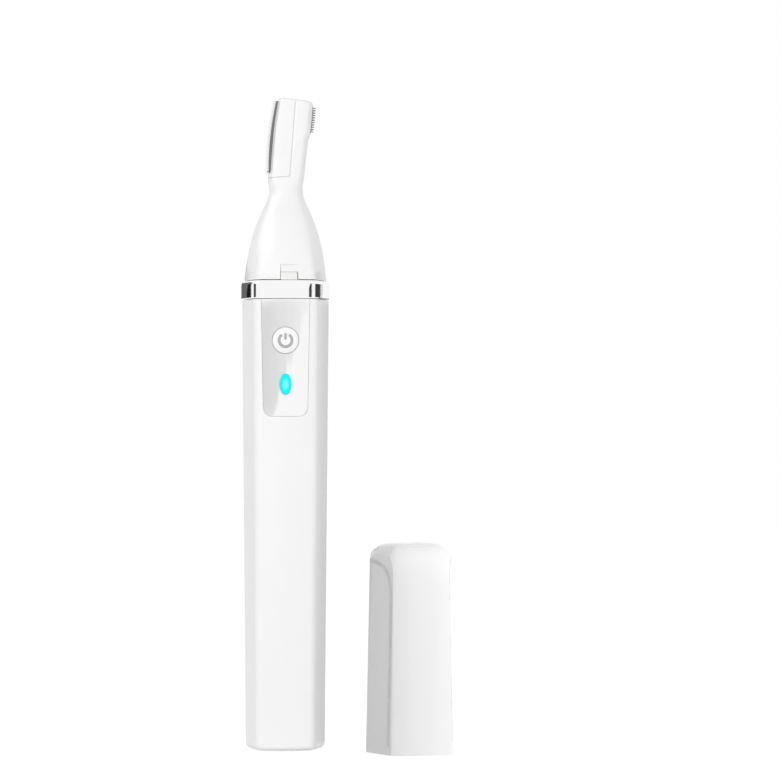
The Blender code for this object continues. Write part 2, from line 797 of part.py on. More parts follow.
def add_key_tab(chassis):
    """Tab at the front of the flange that stands in the head's notch."""
    front = -handle_half_depth(HANDLE_LENGTH) + 0.5 * MM
    back = front + KEY_THICKNESS
    high = head_seat() + KEY_HEIGHT
    tab = tool("key_tab", box((KEY_LEFT, front, head_seat() + 0.15 * MM), (KEY_RIGHT, back, high)))
    root = tool("key_root", box((KEY_LEFT, back - 0.3 * MM, head_seat() - MM),
                                (KEY_RIGHT, back, high - 0.2 * MM)))
    join(chassis, root, tab)


def make_shaft_seal():
    """Rubber lip ring round the shaft in the floor of the head socket."""
    wide = HUB_RADIUS + 0.45 * MM
    bore = SHAFT_RADIUS + 0.15 * MM
    floor = socket_floor()
    profile = [(wide, floor - 0.95 * MM), (wide, floor - 0.3 * MM), (1.2 * MM, floor + 0.1 * MM),
               (bore, floor + 0.1 * MM), (bore, floor - 0.95 * MM)]
    piece("shaft_seal", turned_ring(profile, 20), RUBBER, 0.7)


# Charging socket, board, battery and motor

def slot_outline(half_width, thickness, centre_y, steps=6):
    """Flat oval of the charging socket in X and Y, anticlockwise."""
    radius = thickness / 2
    turn = np.linspace(-math.pi / 2, math.pi / 2, steps + 1)
    right = [(half_width - radius + radius * math.cos(a), centre_y + radius * math.sin(a)) for a in turn]
    left = [(-x, 2 * centre_y - y) for x, y in right]
    return np.array(right + left)


def make_charging_socket(sleeve):
    """Metal shell with its tongue on the board's lower end, and the port through the housing's floor."""
    centre = socket_back() - SOCKET_THICKNESS / 2
    top = SOCKET_BOTTOM + SOCKET_LENGTH
    outer = slot_outline(SOCKET_HALF_WIDTH, SOCKET_THICKNESS, centre)
    inner = slot_outline(SOCKET_HALF_WIDTH - SOCKET_WALL, SOCKET_THICKNESS - 2 * SOCKET_WALL, centre)
    floor = top - 0.8 * MM
    rings = [at_height(inner, floor), at_height(inner, SOCKET_BOTTOM), at_height(outer, SOCKET_BOTTOM),
             at_height(outer, top)]
    piece("usb_shell", loft(rings), CHROME, 0.25, 1.0)
    half = TONGUE_THICKNESS / 2
    tongue = box((-TONGUE_HALF_WIDTH, centre - half, SOCKET_BOTTOM + MM),
                 (TONGUE_HALF_WIDTH, centre + half, floor - FLAT_GAP))
    piece("usb_tongue", tongue, BLACK, 0.5, smooth=False)
    port = slot_outline(SOCKET_HALF_WIDTH + SEAM, SOCKET_THICKNESS + 2 * SEAM, centre)
    cut(sleeve, tool("port", loft([at_height(port, -MM), at_height(port, HOUSING_FLOOR + MM)])))


def make_circuit_board():
    """Long board, narrow beside the battery and wide behind the button."""
    low, high = HOUSING_FLOOR + BOARD_FOOT, board_top()
    step = cell_top() + 5 * MM
    slim = min(board_half_width(low), board_half_width(step))
    wide = min(board_half_width(step + BOARD_SHOULDER), board_half_width(high))
    right = [(slim, low), (slim, step), (wide, step + BOARD_SHOULDER), (wide, high)]
    outline = right + [(-x, z) for x, z in right[::-1]]
    shape = slab(outline, board_front(), board_back())
    board = piece("circuit_board", shape, BOARD_GREEN, 0.4, smooth=False)
    for name, z in zip(("lower_board_hole", "upper_board_hole"), screw_heights()):
        hole = rod(SCREW_SHANK_RADIUS + NOSE_GAP, board_front() - MM, board_back() + MM, z=z, steps=12)
        cut(board, tool(name, hole))
    return board


def make_board_parts():
    """Chips and capacitors, the switch body and the two screws."""
    front = board_front() - FLAT_GAP
    top = cell_top()
    chips = [("charge_chip", 0.0, motor_bottom() - 2.1 * MM, 1.6, 1.6, 0.7),
             ("control_chip", 0.0, top - 6 * MM, 1.3, 1.6, 0.6),
             ("board_capacitor_left", -1.6, top - 12 * MM, 0.5, 0.4, 0.35),
             ("board_capacitor_right", 1.6, top - 12 * MM, 0.5, 0.4, 0.35),
             ("guard_chip", 0.0, HOUSING_FLOOR + BOARD_FOOT + 12 * MM, 1.2, 1.2, 0.3)]
    for name, x, z, half_x, half_z, tall in chips:
        near = ((x - half_x) * MM, front - tall * MM, z - half_z * MM)
        piece(name, box(near, ((x + half_x) * MM, front, z + half_z * MM)), BLACK, 0.5, smooth=False)
    z = button_height()
    near = (-SWITCH_HALF, front - SWITCH_THICKNESS + FLAT_GAP, z - SWITCH_HALF)
    shape = box(near, (SWITCH_HALF, front, z + SWITCH_HALF))
    body = piece("switch_body", shape, CHROME, 0.4, 0.8, smooth=False)
    cut(body, tool("plunger_hole", rod(PLUNGER_RADIUS + NOSE_GAP, front - MM, front + MM, z=z, steps=16)))
    shank = SCREW_SHANK_RADIUS
    profile = [(shank * 0.6, -SCREW_LENGTH), (shank, -SCREW_LENGTH + 0.4 * MM), (shank, 0.0),
               (SCREW_HEAD_RADIUS, 0.0), (SCREW_HEAD_RADIUS, SCREW_HEAD_THICKNESS * 0.6),
               (SCREW_HEAD_RADIUS * 0.7, SCREW_HEAD_THICKNESS)]
    for name, z in zip(("board_screw_lower", "board_screw_upper"), screw_heights()):
        piece(name, turned(profile, 14), CHROME, 0.3, 1.0, at=(0, front, z), turn=(math.pi / 2, 0, 0))


def make_battery():
    """Round lithium cell with a welded strip at each end that reaches the board."""
    low, top, radius = cell_bottom(), cell_top(), cell_radius()
    neck = radius - 0.4 * MM
    profile = [(neck, low), (radius, low + 0.4 * MM), (radius, top - 0.7 * MM),
               (neck, top - 0.4 * MM), (2.0 * MM, top - 0.4 * MM), (1.8 * MM, top)]
    piece("battery_cell", turned(profile, 24, (0, cell_shift())), CELL_BLUE, 0.35)
    near, back = board_back() + FLAT_GAP, cell_shift() + 1.5 * MM
    places = {"battery_tab_bottom": low - TAB_THICKNESS - FLAT_GAP, "battery_tab_top": top + FLAT_GAP}
    for name, z in places.items():
        strip = box((-TAB_HALF_WIDTH, near, z), (TAB_HALF_WIDTH, back, z + TAB_THICKNESS))
        piece(name, strip, CHROME, 0.3, 1.0, smooth=False)


def motor_outline(radius, half_flat, steps=28):
    """Round outline with flats at front and back."""
    points = circle(radius, steps)
    points[:, 1] = np.clip(points[:, 1], -half_flat, half_flat)
    return points


def make_motor():
    """Small direct-current motor: can, rear cap, terminals and foam pad."""
    low, top = motor_bottom(), motor_top()
    can = motor_outline(MOTOR_RADIUS, motor_half_flat())
    boss = circle(MOTOR_BOSS_RADIUS, len(can))
    rings = [at_height(can, low), at_height(can, top - 0.4 * MM), at_height(can * 0.93, top),
             at_height(boss, top), at_height(boss, top + MOTOR_BOSS_HEIGHT)]
    motor = piece("motor_can", loft(rings), CHROME, 0.3, 1.0)
    cut(motor, tool("bearing_bore", bar(SHAFT_RADIUS + 0.2 * MM, top - 2 * MM,
                                        top + MOTOR_BOSS_HEIGHT + MM, 16)))
    cap_top = low - FLAT_GAP
    cap_low = cap_top - END_CAP_HEIGHT
    rear = motor_outline(MOTOR_RADIUS - 0.3 * MM, motor_half_flat() - 0.3 * MM)
    rings = [at_height(rear * 0.9, cap_low), at_height(rear, cap_low + 0.5 * MM), at_height(rear, cap_top)]
    piece("motor_end_cap", loft(rings), WHITE, 0.5)
    spread = MOTOR_RADIUS - 2.4 * MM
    for name, x in (("motor_terminal_left", -spread), ("motor_terminal_right", spread)):
        near = (x - 0.6 * MM, -0.15 * MM, cap_low - TERMINAL_LENGTH)
        piece(name, box(near, (x + 0.6 * MM, 0.15 * MM, cap_low - FLAT_GAP)), BRASS, 0.3, 1.0, smooth=False)
    pad = box((-1.5 * MM, motor_half_flat() + FLAT_GAP, low + 3 * MM),
              (1.5 * MM, MOTOR_RADIUS - 0.05 * MM, top - 3 * MM))
    piece("motor_pad", pad, RUBBER, 0.9, smooth=False)


def make_rotor():
    """Shaft, and the hub pressed on it with an off-centre pin that stands towards the back at rest."""
    shaft = bar(SHAFT_RADIUS, motor_top() - 1.5 * MM, hub_top() - 0.8 * MM, 16)
    piece("motor_shaft", shaft, STEEL, 0.2, 1.0)
    top = hub_top()
    low = top - HUB_HEIGHT
    hub = turned([(HUB_RADIUS - 0.2 * MM, low), (HUB_RADIUS, low + 0.2 * MM), (HUB_RADIUS, top)], 24)
    eccentric = piece("drive_eccentric", hub, WHITE, 0.4)
    end, radius = eccentric_top(), ECCENTRIC_PIN_RADIUS
    profile = [(radius, top - 0.5 * MM), (radius, end - 0.2 * MM), (radius * 0.6, end)]
    pin = tool("eccentric_pin", turned(profile, 16, (0.0, ECCENTRICITY)))
    bore = tool("hub_bore", bar(SHAFT_RADIUS + PIN_GAP, low - MM, top - 0.7 * MM, 16))
    cut(eccentric, bore)
    join(eccentric, pin)
    return eccentric


# Cutting head

def cone_stations():
    """Rings of the cone: share of the rise to the neck, of the spread over the neck, and of barrel shape."""
    return [(0.0, 1.0, 1.0), (0.1, 0.957, 0.78), (0.2, 0.905, 0.58), (0.35, 0.814, 0.32),
            (0.49, 0.679, 0.12), (0.56, 0.598, 0.04), (0.625, 0.513, 0.0), (0.69, 0.41, 0.0),
            (0.755, 0.303, 0.0), (0.815, 0.2, 0.0), (0.865, 0.115, 0.0), (0.932, 0.028, 0.0),
            (1.0, 0.0, 0.0)]


def cone_ring(rise, inset=0.0):
    """Outline of the cone's skin at a height above its rim, drawn in by inset."""
    places, shares, barrels = zip(*cone_stations())
    share = np.interp(rise / NECK_RISE, places, shares)
    unit = lerp(ROUND_SECTION, SECTION, np.interp(rise / NECK_RISE, places, barrels))
    half_width = lerp(NECK_HALF_WIDTH, HANDLE_TOP_WIDTH / 2 - HEAD_STEP, share) - inset
    half_depth = lerp(NECK_HALF_DEPTH, HANDLE_TOP_DEPTH / 2 - HEAD_STEP, share) - inset
    ring = at_height(unit * np.array([half_width, half_depth]), head_rim() + rise)
    ring[:, 0] += (LEAN_X + SEAM + 0.18 * MM) * min(1.0, rise / NECK_RISE)
    return ring


def spine_stations():
    """Rings of the spine: place along it, left and right edge, half depth, squareness left and right."""
    bump = SPINE_RIGHT + SPINE_BUMP
    left, right, deep, top = SPINE_LEFT, SPINE_RIGHT, SPINE_HALF_DEPTH, SPINE_TOP
    short_foot = SHORT_COMB_BOTTOM - 1.7 * MM
    return [(-1.9 * MM, left - 0.3 * MM, right - 0.12 * MM, deep + 0.4 * MM, 2.6, 2.3),
            (-0.7 * MM, left - 0.4 * MM, right, deep + 0.12 * MM, 4.0, 2.6),
            (0.2 * MM, left, right, deep, 6.0, 3.0),
            (3.5 * MM, left - 0.12 * MM, right, deep, 6.0, 3.0),
            (short_foot, left - 0.22 * MM, right + 0.04 * MM, deep, 6.0, 3.0),
            (SHORT_COMB_BOTTOM, left - 0.22 * MM, bump, deep, 6.0, 3.0),
            ((SHORT_COMB_BOTTOM + top) / 2, left - 0.11 * MM, bump, deep, 6.0, 3.0),
            (top - 1.1 * MM, left + 0.03 * MM, bump - 0.08 * MM, deep, 6.0, 3.0),
            (top - 0.35 * MM, left + 0.12 * MM, bump - 0.35 * MM, deep - 0.1 * MM, 6.0, 3.0),
            (top, left + 0.45 * MM, bump - 0.95 * MM, deep - 0.5 * MM, 5.0, 3.0)]


def spine_ring(along, left, right, deep, left_power, right_power):
    """Rounded-square outline across the leaning spine."""
    cosine, sine = ROUND_SECTION.T
    power = np.where(cosine < 0, left_power, right_power)
    reach = (np.abs(cosine) ** power + np.abs(sine) ** power) ** (-1.0 / power)
    across = (left + right) / 2 + reach * cosine * (right - left) / 2
    x = LEAN_X + across * math.cos(LEAN) + along * math.sin(LEAN)
    z = head_rim() + lean_rise() - across * math.sin(LEAN) + along * math.cos(LEAN)
    return np.column_stack([x, reach * sine * deep, z])


def head_skin():
    """Outer skin of the whole head."""
    rings = [cone_ring(0.0, 0.1 * MM), cone_ring(0.2 * MM)]
    rings += [cone_ring(place * NECK_RISE) for place, _, _ in cone_stations()[1:]]
    rings += [spine_ring(*row) for row in spine_stations()]
    return loft(rings)


def cassette_outline(margin):
    """Outline of the comb cassette, across and along the spine."""
    left = 2 * SPINE_LEFT
    foot = SEAM_RIGHT + margin
    low, high = GROOVE_BOTTOM - margin, GROOVE_TOP - margin
    top = SPINE_TOP + 2 * MM
    corner = [(low - GROOVE_CORNER, foot), (low, foot), (low, foot + GROOVE_CORNER)]
    curve = corner_curve(*corner, np.linspace(0, 1, 5))
    return np.array([(left, SEAM_LEFT + margin), *curve, (high, top), (left, top)])


def make_head_shell(lean):
    """Hollow cone, neck and leaning spine in one moulding, with pockets for the cassette and the blades."""
    shell = piece("head_shell", head_skin(), WHITE, 0.18)
    rises = [place * NECK_RISE for place, _, _ in cone_stations()[:9]]
    hollow = [cone_ring(rise, HEAD_WALL) for rise in rises]
    hollow[0][:, 2] -= MM
    cone_hollow = tool("cone_hollow", loft(hollow))
    far = HANDLE_TOP_DEPTH / 2
    bay_front = COMB_FRONT + COMB_THICKNESS + FLAT_GAP
    back = carrier_back() + 2 * FLAT_GAP + SPRING_BOW + SPRING_THICKNESS
    side = STEM_HALF_WIDTH + SLIDING_GAP
    near = (stem_centre() - side, carrier_front() - STEM_STEP - SLIDING_GAP, rises[-1] - MM - lean_rise())
    neck_top = STEM_TOP + blade_stroke() + RUNNING_GAP
    neck_bore = tool("neck_bore", box(near, (stem_centre() + side, back, neck_top)), parent=lean)
    spare = blade_stroke() + SLIDING_GAP
    near = (CARRIER_LEFT - SLIDING_GAP, bay_front, CARRIER_BOTTOM - spare)
    bay = box(near, (CARRIER_RIGHT + SLIDING_GAP, back, long_comb_top()))
    blade_bay = tool("blade_bay", bay, parent=lean)
    pocket = tool("cassette_pocket", slab(cassette_outline(0.0), -far, bay_front), parent=lean)
    slot_back = carrier_front() + 0.02 * MM
    near = (-far, bay_front - SLIDING_GAP, LONG_COMB_BOTTOM - SLIDING_GAP)
    slot = box(near, (CARRIER_LEFT, slot_back, long_comb_top() + SLIDING_GAP))
    left_slot = tool("left_slot", slot, parent=lean)
    near = (SHORT_COMB_ROOT - SLIDING_GAP, COMB_FRONT - FLAT_GAP, SHORT_COMB_BOTTOM - SLIDING_GAP)
    slot = box(near, (far, slot_back, short_comb_top() + SLIDING_GAP))
    right_slot = tool("right_slot", slot, parent=lean)
    cut(shell, cone_hollow, neck_bore, blade_bay, pocket, left_slot, right_slot)
    cut(shell, line_groove("shell_line", lean))
    cut_key_notch(shell)
    return shell


def cut_key_notch(shell):
    """Shallow recess at the front of the head's rim, and in it the slot that lets the key tab in."""
    floor = -(HANDLE_TOP_DEPTH / 2 - HEAD_STEP - NOTCH_DEPTH)
    near = (KEY_LEFT - PIN_GAP, -HANDLE_TOP_DEPTH, head_rim() - MM)
    recess = tool("key_recess", box(near, (NOTCH_RIGHT, floor, head_rim() + NOTCH_HEIGHT)))
    near = (KEY_LEFT - PIN_GAP + BOND, floor - MM, head_rim() - MM)
    far = (KEY_RIGHT + PIN_GAP, floor + 1.5 * MM, head_seat() + KEY_HEIGHT + PIN_GAP)
    cut(shell, recess, tool("key_slot", box(near, far)))


def line_groove(name, lean):
    """Shallow V along the long edge of the cassette, open to the front."""
    outward = 0.5 * MM
    spread = GROOVE_HALF_WIDTH * (GROOVE_DEPTH + outward) / GROOVE_DEPTH
    front, root = -SPINE_HALF_DEPTH - outward, -SPINE_HALF_DEPTH + GROOVE_DEPTH
    rings = []
    for middle, along in ((GROOVE_BOTTOM, SEAM_RIGHT + GROOVE_CORNER), (GROOVE_TOP, SPINE_TOP + 2 * MM)):
        rings.append(at_height([(middle - spread, front), (middle + spread, front), (middle, root)], along))
    return tool(name, loft(rings), parent=lean)


def make_blade_cassette(lean):
    """Cover of the long comb: the head's own skin, trimmed to an outline and hollowed for the comb."""
    back = COMB_FRONT + COMB_THICKNESS
    outline = slab(cassette_outline(INLAY_GAP), -HANDLE_TOP_DEPTH / 2, back)
    cassette = piece("blade_cassette", outline, WHITE, 0.18, parent=lean)
    keep_inside(cassette, tool("head_skin", head_skin()))
    near = (-HANDLE_TOP_DEPTH / 2, COMB_FRONT - FLAT_GAP, LONG_COMB_BOTTOM - SEAM)
    recess = box(near, (LONG_COMB_ROOT + SEAM, back + MM, long_comb_top() + SEAM))
    cut(cassette, tool("comb_recess", recess, parent=lean), line_groove("cassette_line", lean))
    return cassette


def comb_outline(low, high, tip, bow, root, setback=0.0, margin=0.0):
    """Outline of a toothed strip, across and along; its teeth end on a bowed line, far from the root."""
    side = 1.0 if tip > root else -1.0
    middle = (low + high) / 2
    half = (high - low) / 2

    def edge(s):
        return tip - side * (setback + bow * ((s - middle) / half) ** 2)

    low, high = low + margin, high - margin
    count = int((high - low) / TOOTH_PITCH)
    start = middle - (count - 1) * TOOTH_PITCH / 2
    points = [(edge(low), low)]
    for number in range(count):
        s = start + number * TOOTH_PITCH
        below, above = s - SLOT_WIDTH / 2, s + SLOT_WIDTH / 2
        deep = edge(s) - side * (SLOT_DEPTH - setback)
        points += [(edge(below), below - TOOTH_TAPER), (deep, below), (deep, above),
                   (edge(above), above + TOOTH_TAPER)]
    points += [(edge(high), high), (root, high), (root, low)]
    outline = np.array(points)
    return outline if side > 0 else outline[::-1]


def make_toothed_pair(name, ends, edge, comb_root, blade_root, lean):
    """Fixed comb and the moving blade behind it, which ends short of the comb's tips."""
    back = COMB_FRONT + COMB_THICKNESS
    comb = comb_outline(*ends, *edge, comb_root)
    piece(name + "_comb", slab(comb, COMB_FRONT, back), STEEL, 0.3, 1.0, smooth=False, parent=lean)
    blade = comb_outline(*ends, *edge, blade_root, BLADE_SETBACK, blade_stroke() + PIN_GAP)
    front = back + 2 * FLAT_GAP
    shape = slab(blade, front, front + BLADE_THICKNESS)
    piece(name + "_blade", shape, STEEL, 0.25, 1.0, smooth=False, parent=lean)


def make_cutters(lean):
    """Long comb and blade on the left edge, short pair on the right edge."""
    make_toothed_pair("long", (LONG_COMB_BOTTOM, long_comb_top()), (LONG_COMB_TIP, LONG_COMB_BOW),
                      LONG_COMB_ROOT, LONG_BLADE_ROOT, lean)
    make_toothed_pair("short", (SHORT_COMB_BOTTOM, short_comb_top()), (SHORT_COMB_TIP, SHORT_COMB_BOW),
                      SHORT_COMB_ROOT, SHORT_BLADE_ROOT, lean)


def make_blade_carrier(lean):
    """Sliding plate with a stem down the neck, whose notched end takes the rocker's nose."""
    front, back = carrier_front(), carrier_back()
    plate = box((CARRIER_LEFT, front, CARRIER_BOTTOM), (CARRIER_RIGHT, back, carrier_top()))
    carrier = piece("blade_carrier", plate, WHITE, 0.4, smooth=False, parent=lean)
    nose_t, nose_s = nose_place()
    left, right = stem_centre() - STEM_HALF_WIDTH, stem_centre() + STEM_HALF_WIDTH
    near = (left, front - STEM_STEP, nose_s - NOSE_RADIUS - STEM_END)
    stem = tool("carrier_stem", box(near, (right, back - BOND, STEM_TOP)), parent=lean)
    near = (left + BOND, front + BOND, STEM_TOP - 0.5 * MM)
    far = (right - BOND, back - 2 * BOND, CARRIER_BOTTOM + 0.3 * MM)
    root = tool("stem_root", box(near, far), parent=lean)
    reach = NOSE_RADIUS + NOSE_GAP
    near = (nose_t - reach - PIN_GAP, -3 * MM, nose_s - reach)
    notch = tool("stem_notch", box(near, (right + MM, 4 * MM, nose_s + reach)), parent=lean)
    near = (CARRIER_LEFT + 1.2 * MM, front - MM, CARRIER_BOTTOM + 2.5 * MM)
    far = (CARRIER_RIGHT - 1.2 * MM, back + MM, CARRIER_BOTTOM + 7.5 * MM)
    window = tool("carrier_window", box(near, far), parent=lean)
    join(carrier, root, stem)
    cut(carrier, notch, window)
    return carrier


def make_carrier_spring(lean):
    """Thin bowed leaf on the carrier's back that presses the blades against their combs."""
    base = carrier_back() + FLAT_GAP
    high = carrier_top() - 0.6 * MM
    half = SPRING_HALF_WIDTH
    rings = []
    for step in np.linspace(0, 1, 9):
        front = base + SPRING_BOW * math.sin(math.pi * step)
        rear = front + SPRING_THICKNESS
        outline = [(-half, front), (half, front), (half, rear), (-half, rear)]
        rings.append(at_height(outline, high - SPRING_LENGTH * (1 - step)))
    piece("carrier_spring", loft(rings), STEEL, 0.25, 1.0, smooth=False, parent=lean)


def make_head_base():
    """Plate that closes the cone, with a rim, the spigot below and two ears for the rocker's pin."""
    inset = HEAD_WALL + 0.2 * MM
    low, high = 0.8 * MM, 3.6 * MM
    rings = [cone_ring(low, inset), cone_ring(high, inset), cone_ring(high, inset + 0.8 * MM),
             cone_ring(low + HEAD_PLATE, inset + 0.8 * MM)]
    base = piece("head_base", loft(rings), WHITE, 0.4)
    foot = head_seat() - SPIGOT_LENGTH
    groove = foot + 1.6 * MM
    wide = spigot_radius()
    seat = wide - SEAL_GROOVE
    plate = head_rim() + low
    bore = wide - SPIGOT_WALL
    profile = [(wide - 0.2 * MM, foot), (wide, foot + 0.3 * MM), (wide, groove),
               (seat, groove), (seat, groove + 0.9 * MM), (wide, groove + 0.9 * MM),
               (wide, plate + 0.4 * MM), (bore, plate + 0.4 * MM), (bore, foot)]
    join(base, tool("spigot", turned_ring(profile, 32)))
    half = max(ROCKER_HALF_THICKNESS, ECCENTRICITY + ECCENTRIC_PIN_RADIUS) + RUNNING_GAP
    side = fork_inner() + TINE_THICKNESS + 4 * RUNNING_GAP
    window = tool("base_window", box((-side, -half, plate - MM), (side, half, plate + 5 * MM)))
    cut(base, window)
    add_ears(base, plate + HEAD_PLATE / 2)
    piece("head_seal", turned_ring(seal_profile(groove), 32), RUBBER, 0.7)
    return base


def add_ears(base, foot):
    """Two ears on the plate and the bore for the cross pin through them."""
    inner_face = ROCKER_HALF_THICKNESS + SLIDING_GAP
    crown = circle(ROCKER_HUB_RADIUS, 16, (PIVOT_X, pivot_height()), 0.0)[:9]
    outline = [(PIVOT_X - ROCKER_HUB_RADIUS, foot), (PIVOT_X + ROCKER_HUB_RADIUS, foot), *map(tuple, crown)]
    join(base, tool("front_ear", slab(outline, -inner_face - EAR_THICKNESS, -inner_face)))
    join(base, tool("back_ear", slab(outline, inner_face, inner_face + EAR_THICKNESS)))
    reach = inner_face + EAR_THICKNESS + MM
    cut(base, tool("pin_bore", rod(ROCKER_PIN_RADIUS + PIN_GAP, -reach, reach, PIVOT_X, pivot_height(), 16)))


def seal_profile(groove):
    """Rounded cross-section of the rubber ring in the spigot's groove."""
    edge = spigot_radius()
    inner = edge - SEAL_GROOVE + 0.08 * MM
    return [(inner, groove + 0.1 * MM), (edge, groove + 0.15 * MM), (edge + 0.15 * MM, groove + 0.45 * MM),
            (edge, groove + 0.75 * MM), (inner, groove + 0.8 * MM)]


def fork_inner():
    """Half width of the fork's slot: the pin's whole sweep at the far end of the rocker's swing."""
    tip_arm = pivot_height() - fork_height() + TINE_REACH
    return ECCENTRICITY + ECCENTRIC_PIN_RADIUS + tip_arm * math.sin(rocker_swing()) + FORK_GAP


def make_drive_rocker():
    """Bell crank: a fork astride the eccentric's pin, a hub on the cross pin and a nose in the stem."""
    z = pivot_height()
    axis = empty("rocker_axis", (PIVOT_X, 0, z))
    half = ROCKER_HALF_THICKNESS
    rocker = piece("drive_rocker", rod(ROCKER_HUB_RADIUS, -half, half, steps=20), WHITE, 0.35, parent=axis)
    fork_top = eccentric_top() + 0.7 * MM - z
    tip = fork_height() - TINE_REACH - z
    inner = fork_inner()
    outer = inner + TINE_THICKNESS
    shapes = {"fork_bridge": box((-PIVOT_X - outer, -half + BOND, fork_top),
                                 (-PIVOT_X + outer, half - BOND, fork_top + MM))}
    for name, near, far in (("left_tine", -outer, -inner), ("right_tine", inner, outer)):
        shapes[name] = box((near - PIVOT_X, -half + 2 * BOND, tip),
                           (far - PIVOT_X, half - 2 * BOND, fork_top + 0.5 * MM))
    arm = capsule((0, 0), (-PIVOT_X, fork_top + 0.8 * MM), ARM_RADIUS)
    shapes["fork_arm"] = slab(arm, -half + 3 * BOND, half - 3 * BOND)
    nose_half = 0.8 * MM
    reach = NOSE_X - PIVOT_X
    finger = capsule((0, 0), (reach, 0), 0.7 * NOSE_RADIUS)
    shapes["finger"] = slab(finger, -nose_half + BOND, nose_half - BOND)
    shapes["nose"] = rod(NOSE_RADIUS, -nose_half, nose_half, reach)
    for name, shape in shapes.items():
        join(rocker, tool(name, shape, parent=axis))
    bore = rod(ROCKER_PIN_RADIUS + PIN_GAP, -half - MM, half + MM, steps=16)
    cut(rocker, tool("rocker_bore", bore, parent=axis))
    reach = half + SLIDING_GAP + EAR_THICKNESS
    piece("rocker_pin", rod(ROCKER_PIN_RADIUS, -reach, reach, PIVOT_X, z, 16), STEEL, 0.2, 1.0)


# Cap

def cap_height():
    """Height of the cap: the head that goes in it, headroom and roof."""
    head = lean_rise() + SPINE_TOP * math.cos(LEAN)
    return head + CAP_HEADROOM + CAP_ROOF


def cap_half_size(z):
    """Half width and half depth of the cap at a height; its lip goes over the head's rim."""
    share = z / cap_height()
    grow = CAP_FIT + CAP_LIP_WALL - HEAD_STEP
    width = HANDLE_TOP_WIDTH / 2 + grow - CAP_TAPER_WIDTH * share
    depth = HANDLE_TOP_DEPTH / 2 + grow - CAP_TAPER_DEPTH * share
    return width, depth


def cap_outer_ring(z, shrink=0.0):
    """Full round-cornered outline of the cap before its side flats are cut."""
    width, depth = cap_half_size(z)
    cosine, sine = ROUND_SECTION.T
    reach = (np.abs(cosine) ** CAP_ROUNDNESS + np.abs(sine) ** CAP_ROUNDNESS) ** (-1.0 / CAP_ROUNDNESS)
    size = np.array([width + CAP_SWELL - shrink, depth - shrink])
    return at_height(np.column_stack([reach * cosine, reach * sine]) * size, z)


def cap_inner_ring(z, wall):
    """Inside of the cap, which follows the housing's outline."""
    width, depth = cap_half_size(z)
    return at_height(SECTION * np.array([width - wall, depth - wall]), z)


def flat_cutter(name, side, end, parent):
    """Block whose inner face is one flat of the cap, through a corner and the side edge next to it."""
    height = cap_height()
    width, depth = cap_half_size(0.0)
    corner = Vector((side * CORNER_X * width, end * CORNER_Y * depth, 0.0))
    edge = Vector((side * width, 0.0, 0.0))
    high = Vector((side * cap_half_size(height)[0], 0.0, height))
    outward = (edge - corner).cross(high - corner)
    if outward.x * side < 0:
        outward.negate()
    outward.normalize()
    along = (high - edge).normalized()
    across = along.cross(outward).normalized()
    centre = (corner + edge) / 2
    reach = 12 * MM
    ends = []
    for lift in (-3 * MM, height + 3 * MM):
        corners = ((0.0, -reach), (reach, -reach), (reach, reach), (0.0, reach))
        ends.append([centre + along * lift + outward * away + across * over for away, over in corners])
    return tool(name, loft(ends), parent=parent)


def make_cap():
    """Tall thin-walled cap on its mouth: inner lip, full round top and four flats with a crisp edge."""
    stand = empty("cap_axis", (CAP_X, CAP_Y, 0), (0, 0, CAP_TURN))
    height = cap_height()
    ceiling = height - CAP_ROOF
    inside = [(ceiling, CAP_WALL + 3.2 * MM), (ceiling - 0.9 * MM, CAP_WALL + 1.2 * MM),
              (ceiling - 3 * MM, CAP_WALL), (CAP_LIP_HEIGHT, CAP_WALL),
              (CAP_LIP_HEIGHT - 0.3 * MM, CAP_LIP_WALL), (0.0, CAP_LIP_WALL)]
    rings = [cap_inner_ring(z, wall) for z, wall in inside]
    rings += [cap_outer_ring(0.0), cap_outer_ring(height / 2)]
    for angle in (0, 2, 7, 15, 26, 38, 50, 62, 74, 84, 90):
        tilt = math.radians(angle)
        fullness = 2 / CAP_ROUNDNESS
        z = height - CAP_SHOULDER_HEIGHT * (1 - math.sin(tilt) ** fullness)
        rings.append(cap_outer_ring(z, CAP_SHOULDER * (1 - max(0.0, math.cos(tilt)) ** fullness)))
    cap = piece("cap_shell", loft(rings), WHITE, 0.15, parent=stand)
    for name, side, end in (("front_left_flat", -1, -1), ("front_right_flat", 1, -1),
                            ("back_right_flat", 1, 1), ("back_left_flat", -1, 1)):
        cut(cap, flat_cutter(name, side, end, stand))
    return cap


def main():
    """Build every sub-part."""
    clear_scene()
    sleeve = make_handle_sleeve()
    make_front_panel(sleeve)
    make_charging_socket(sleeve)
    make_power_button()
    make_light()
    make_chrome_ring()
    make_inner_chassis(sleeve)
    make_shaft_seal()
    make_circuit_board()
    make_board_parts()
    make_battery()
    make_motor()
    make_rotor()
    lean = empty("lean_axis", (LEAN_X, 0, head_rim() + lean_rise()), (0, LEAN, 0))
    make_head_shell(lean)
    make_blade_cassette(lean)
    make_cutters(lean)
    make_blade_carrier(lean)
    make_carrier_spring(lean)
    make_head_base()
    make_drive_rocker()
    make_cap()
    bpy.context.view_layer.update()


main()
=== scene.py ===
# %% [markdown]
# # A two-sided face and eyebrow trimmer, dressed for its studio photograph
# A slim white handle carries a bright ring and a leaning cutting head, and the tall cap stands beside it.
# The solid parts arrive finished in shape from the imported model. This script gives each of them a surface
# finish, adds the printed mark, the cap's arched lines of painted shade and the socket's contacts, and sets
# up the camera, the floor and the light. Lengths are in metres, with +Z up the handle and the button
# looking along -Y.

# %% Load the imported model
import json
import math

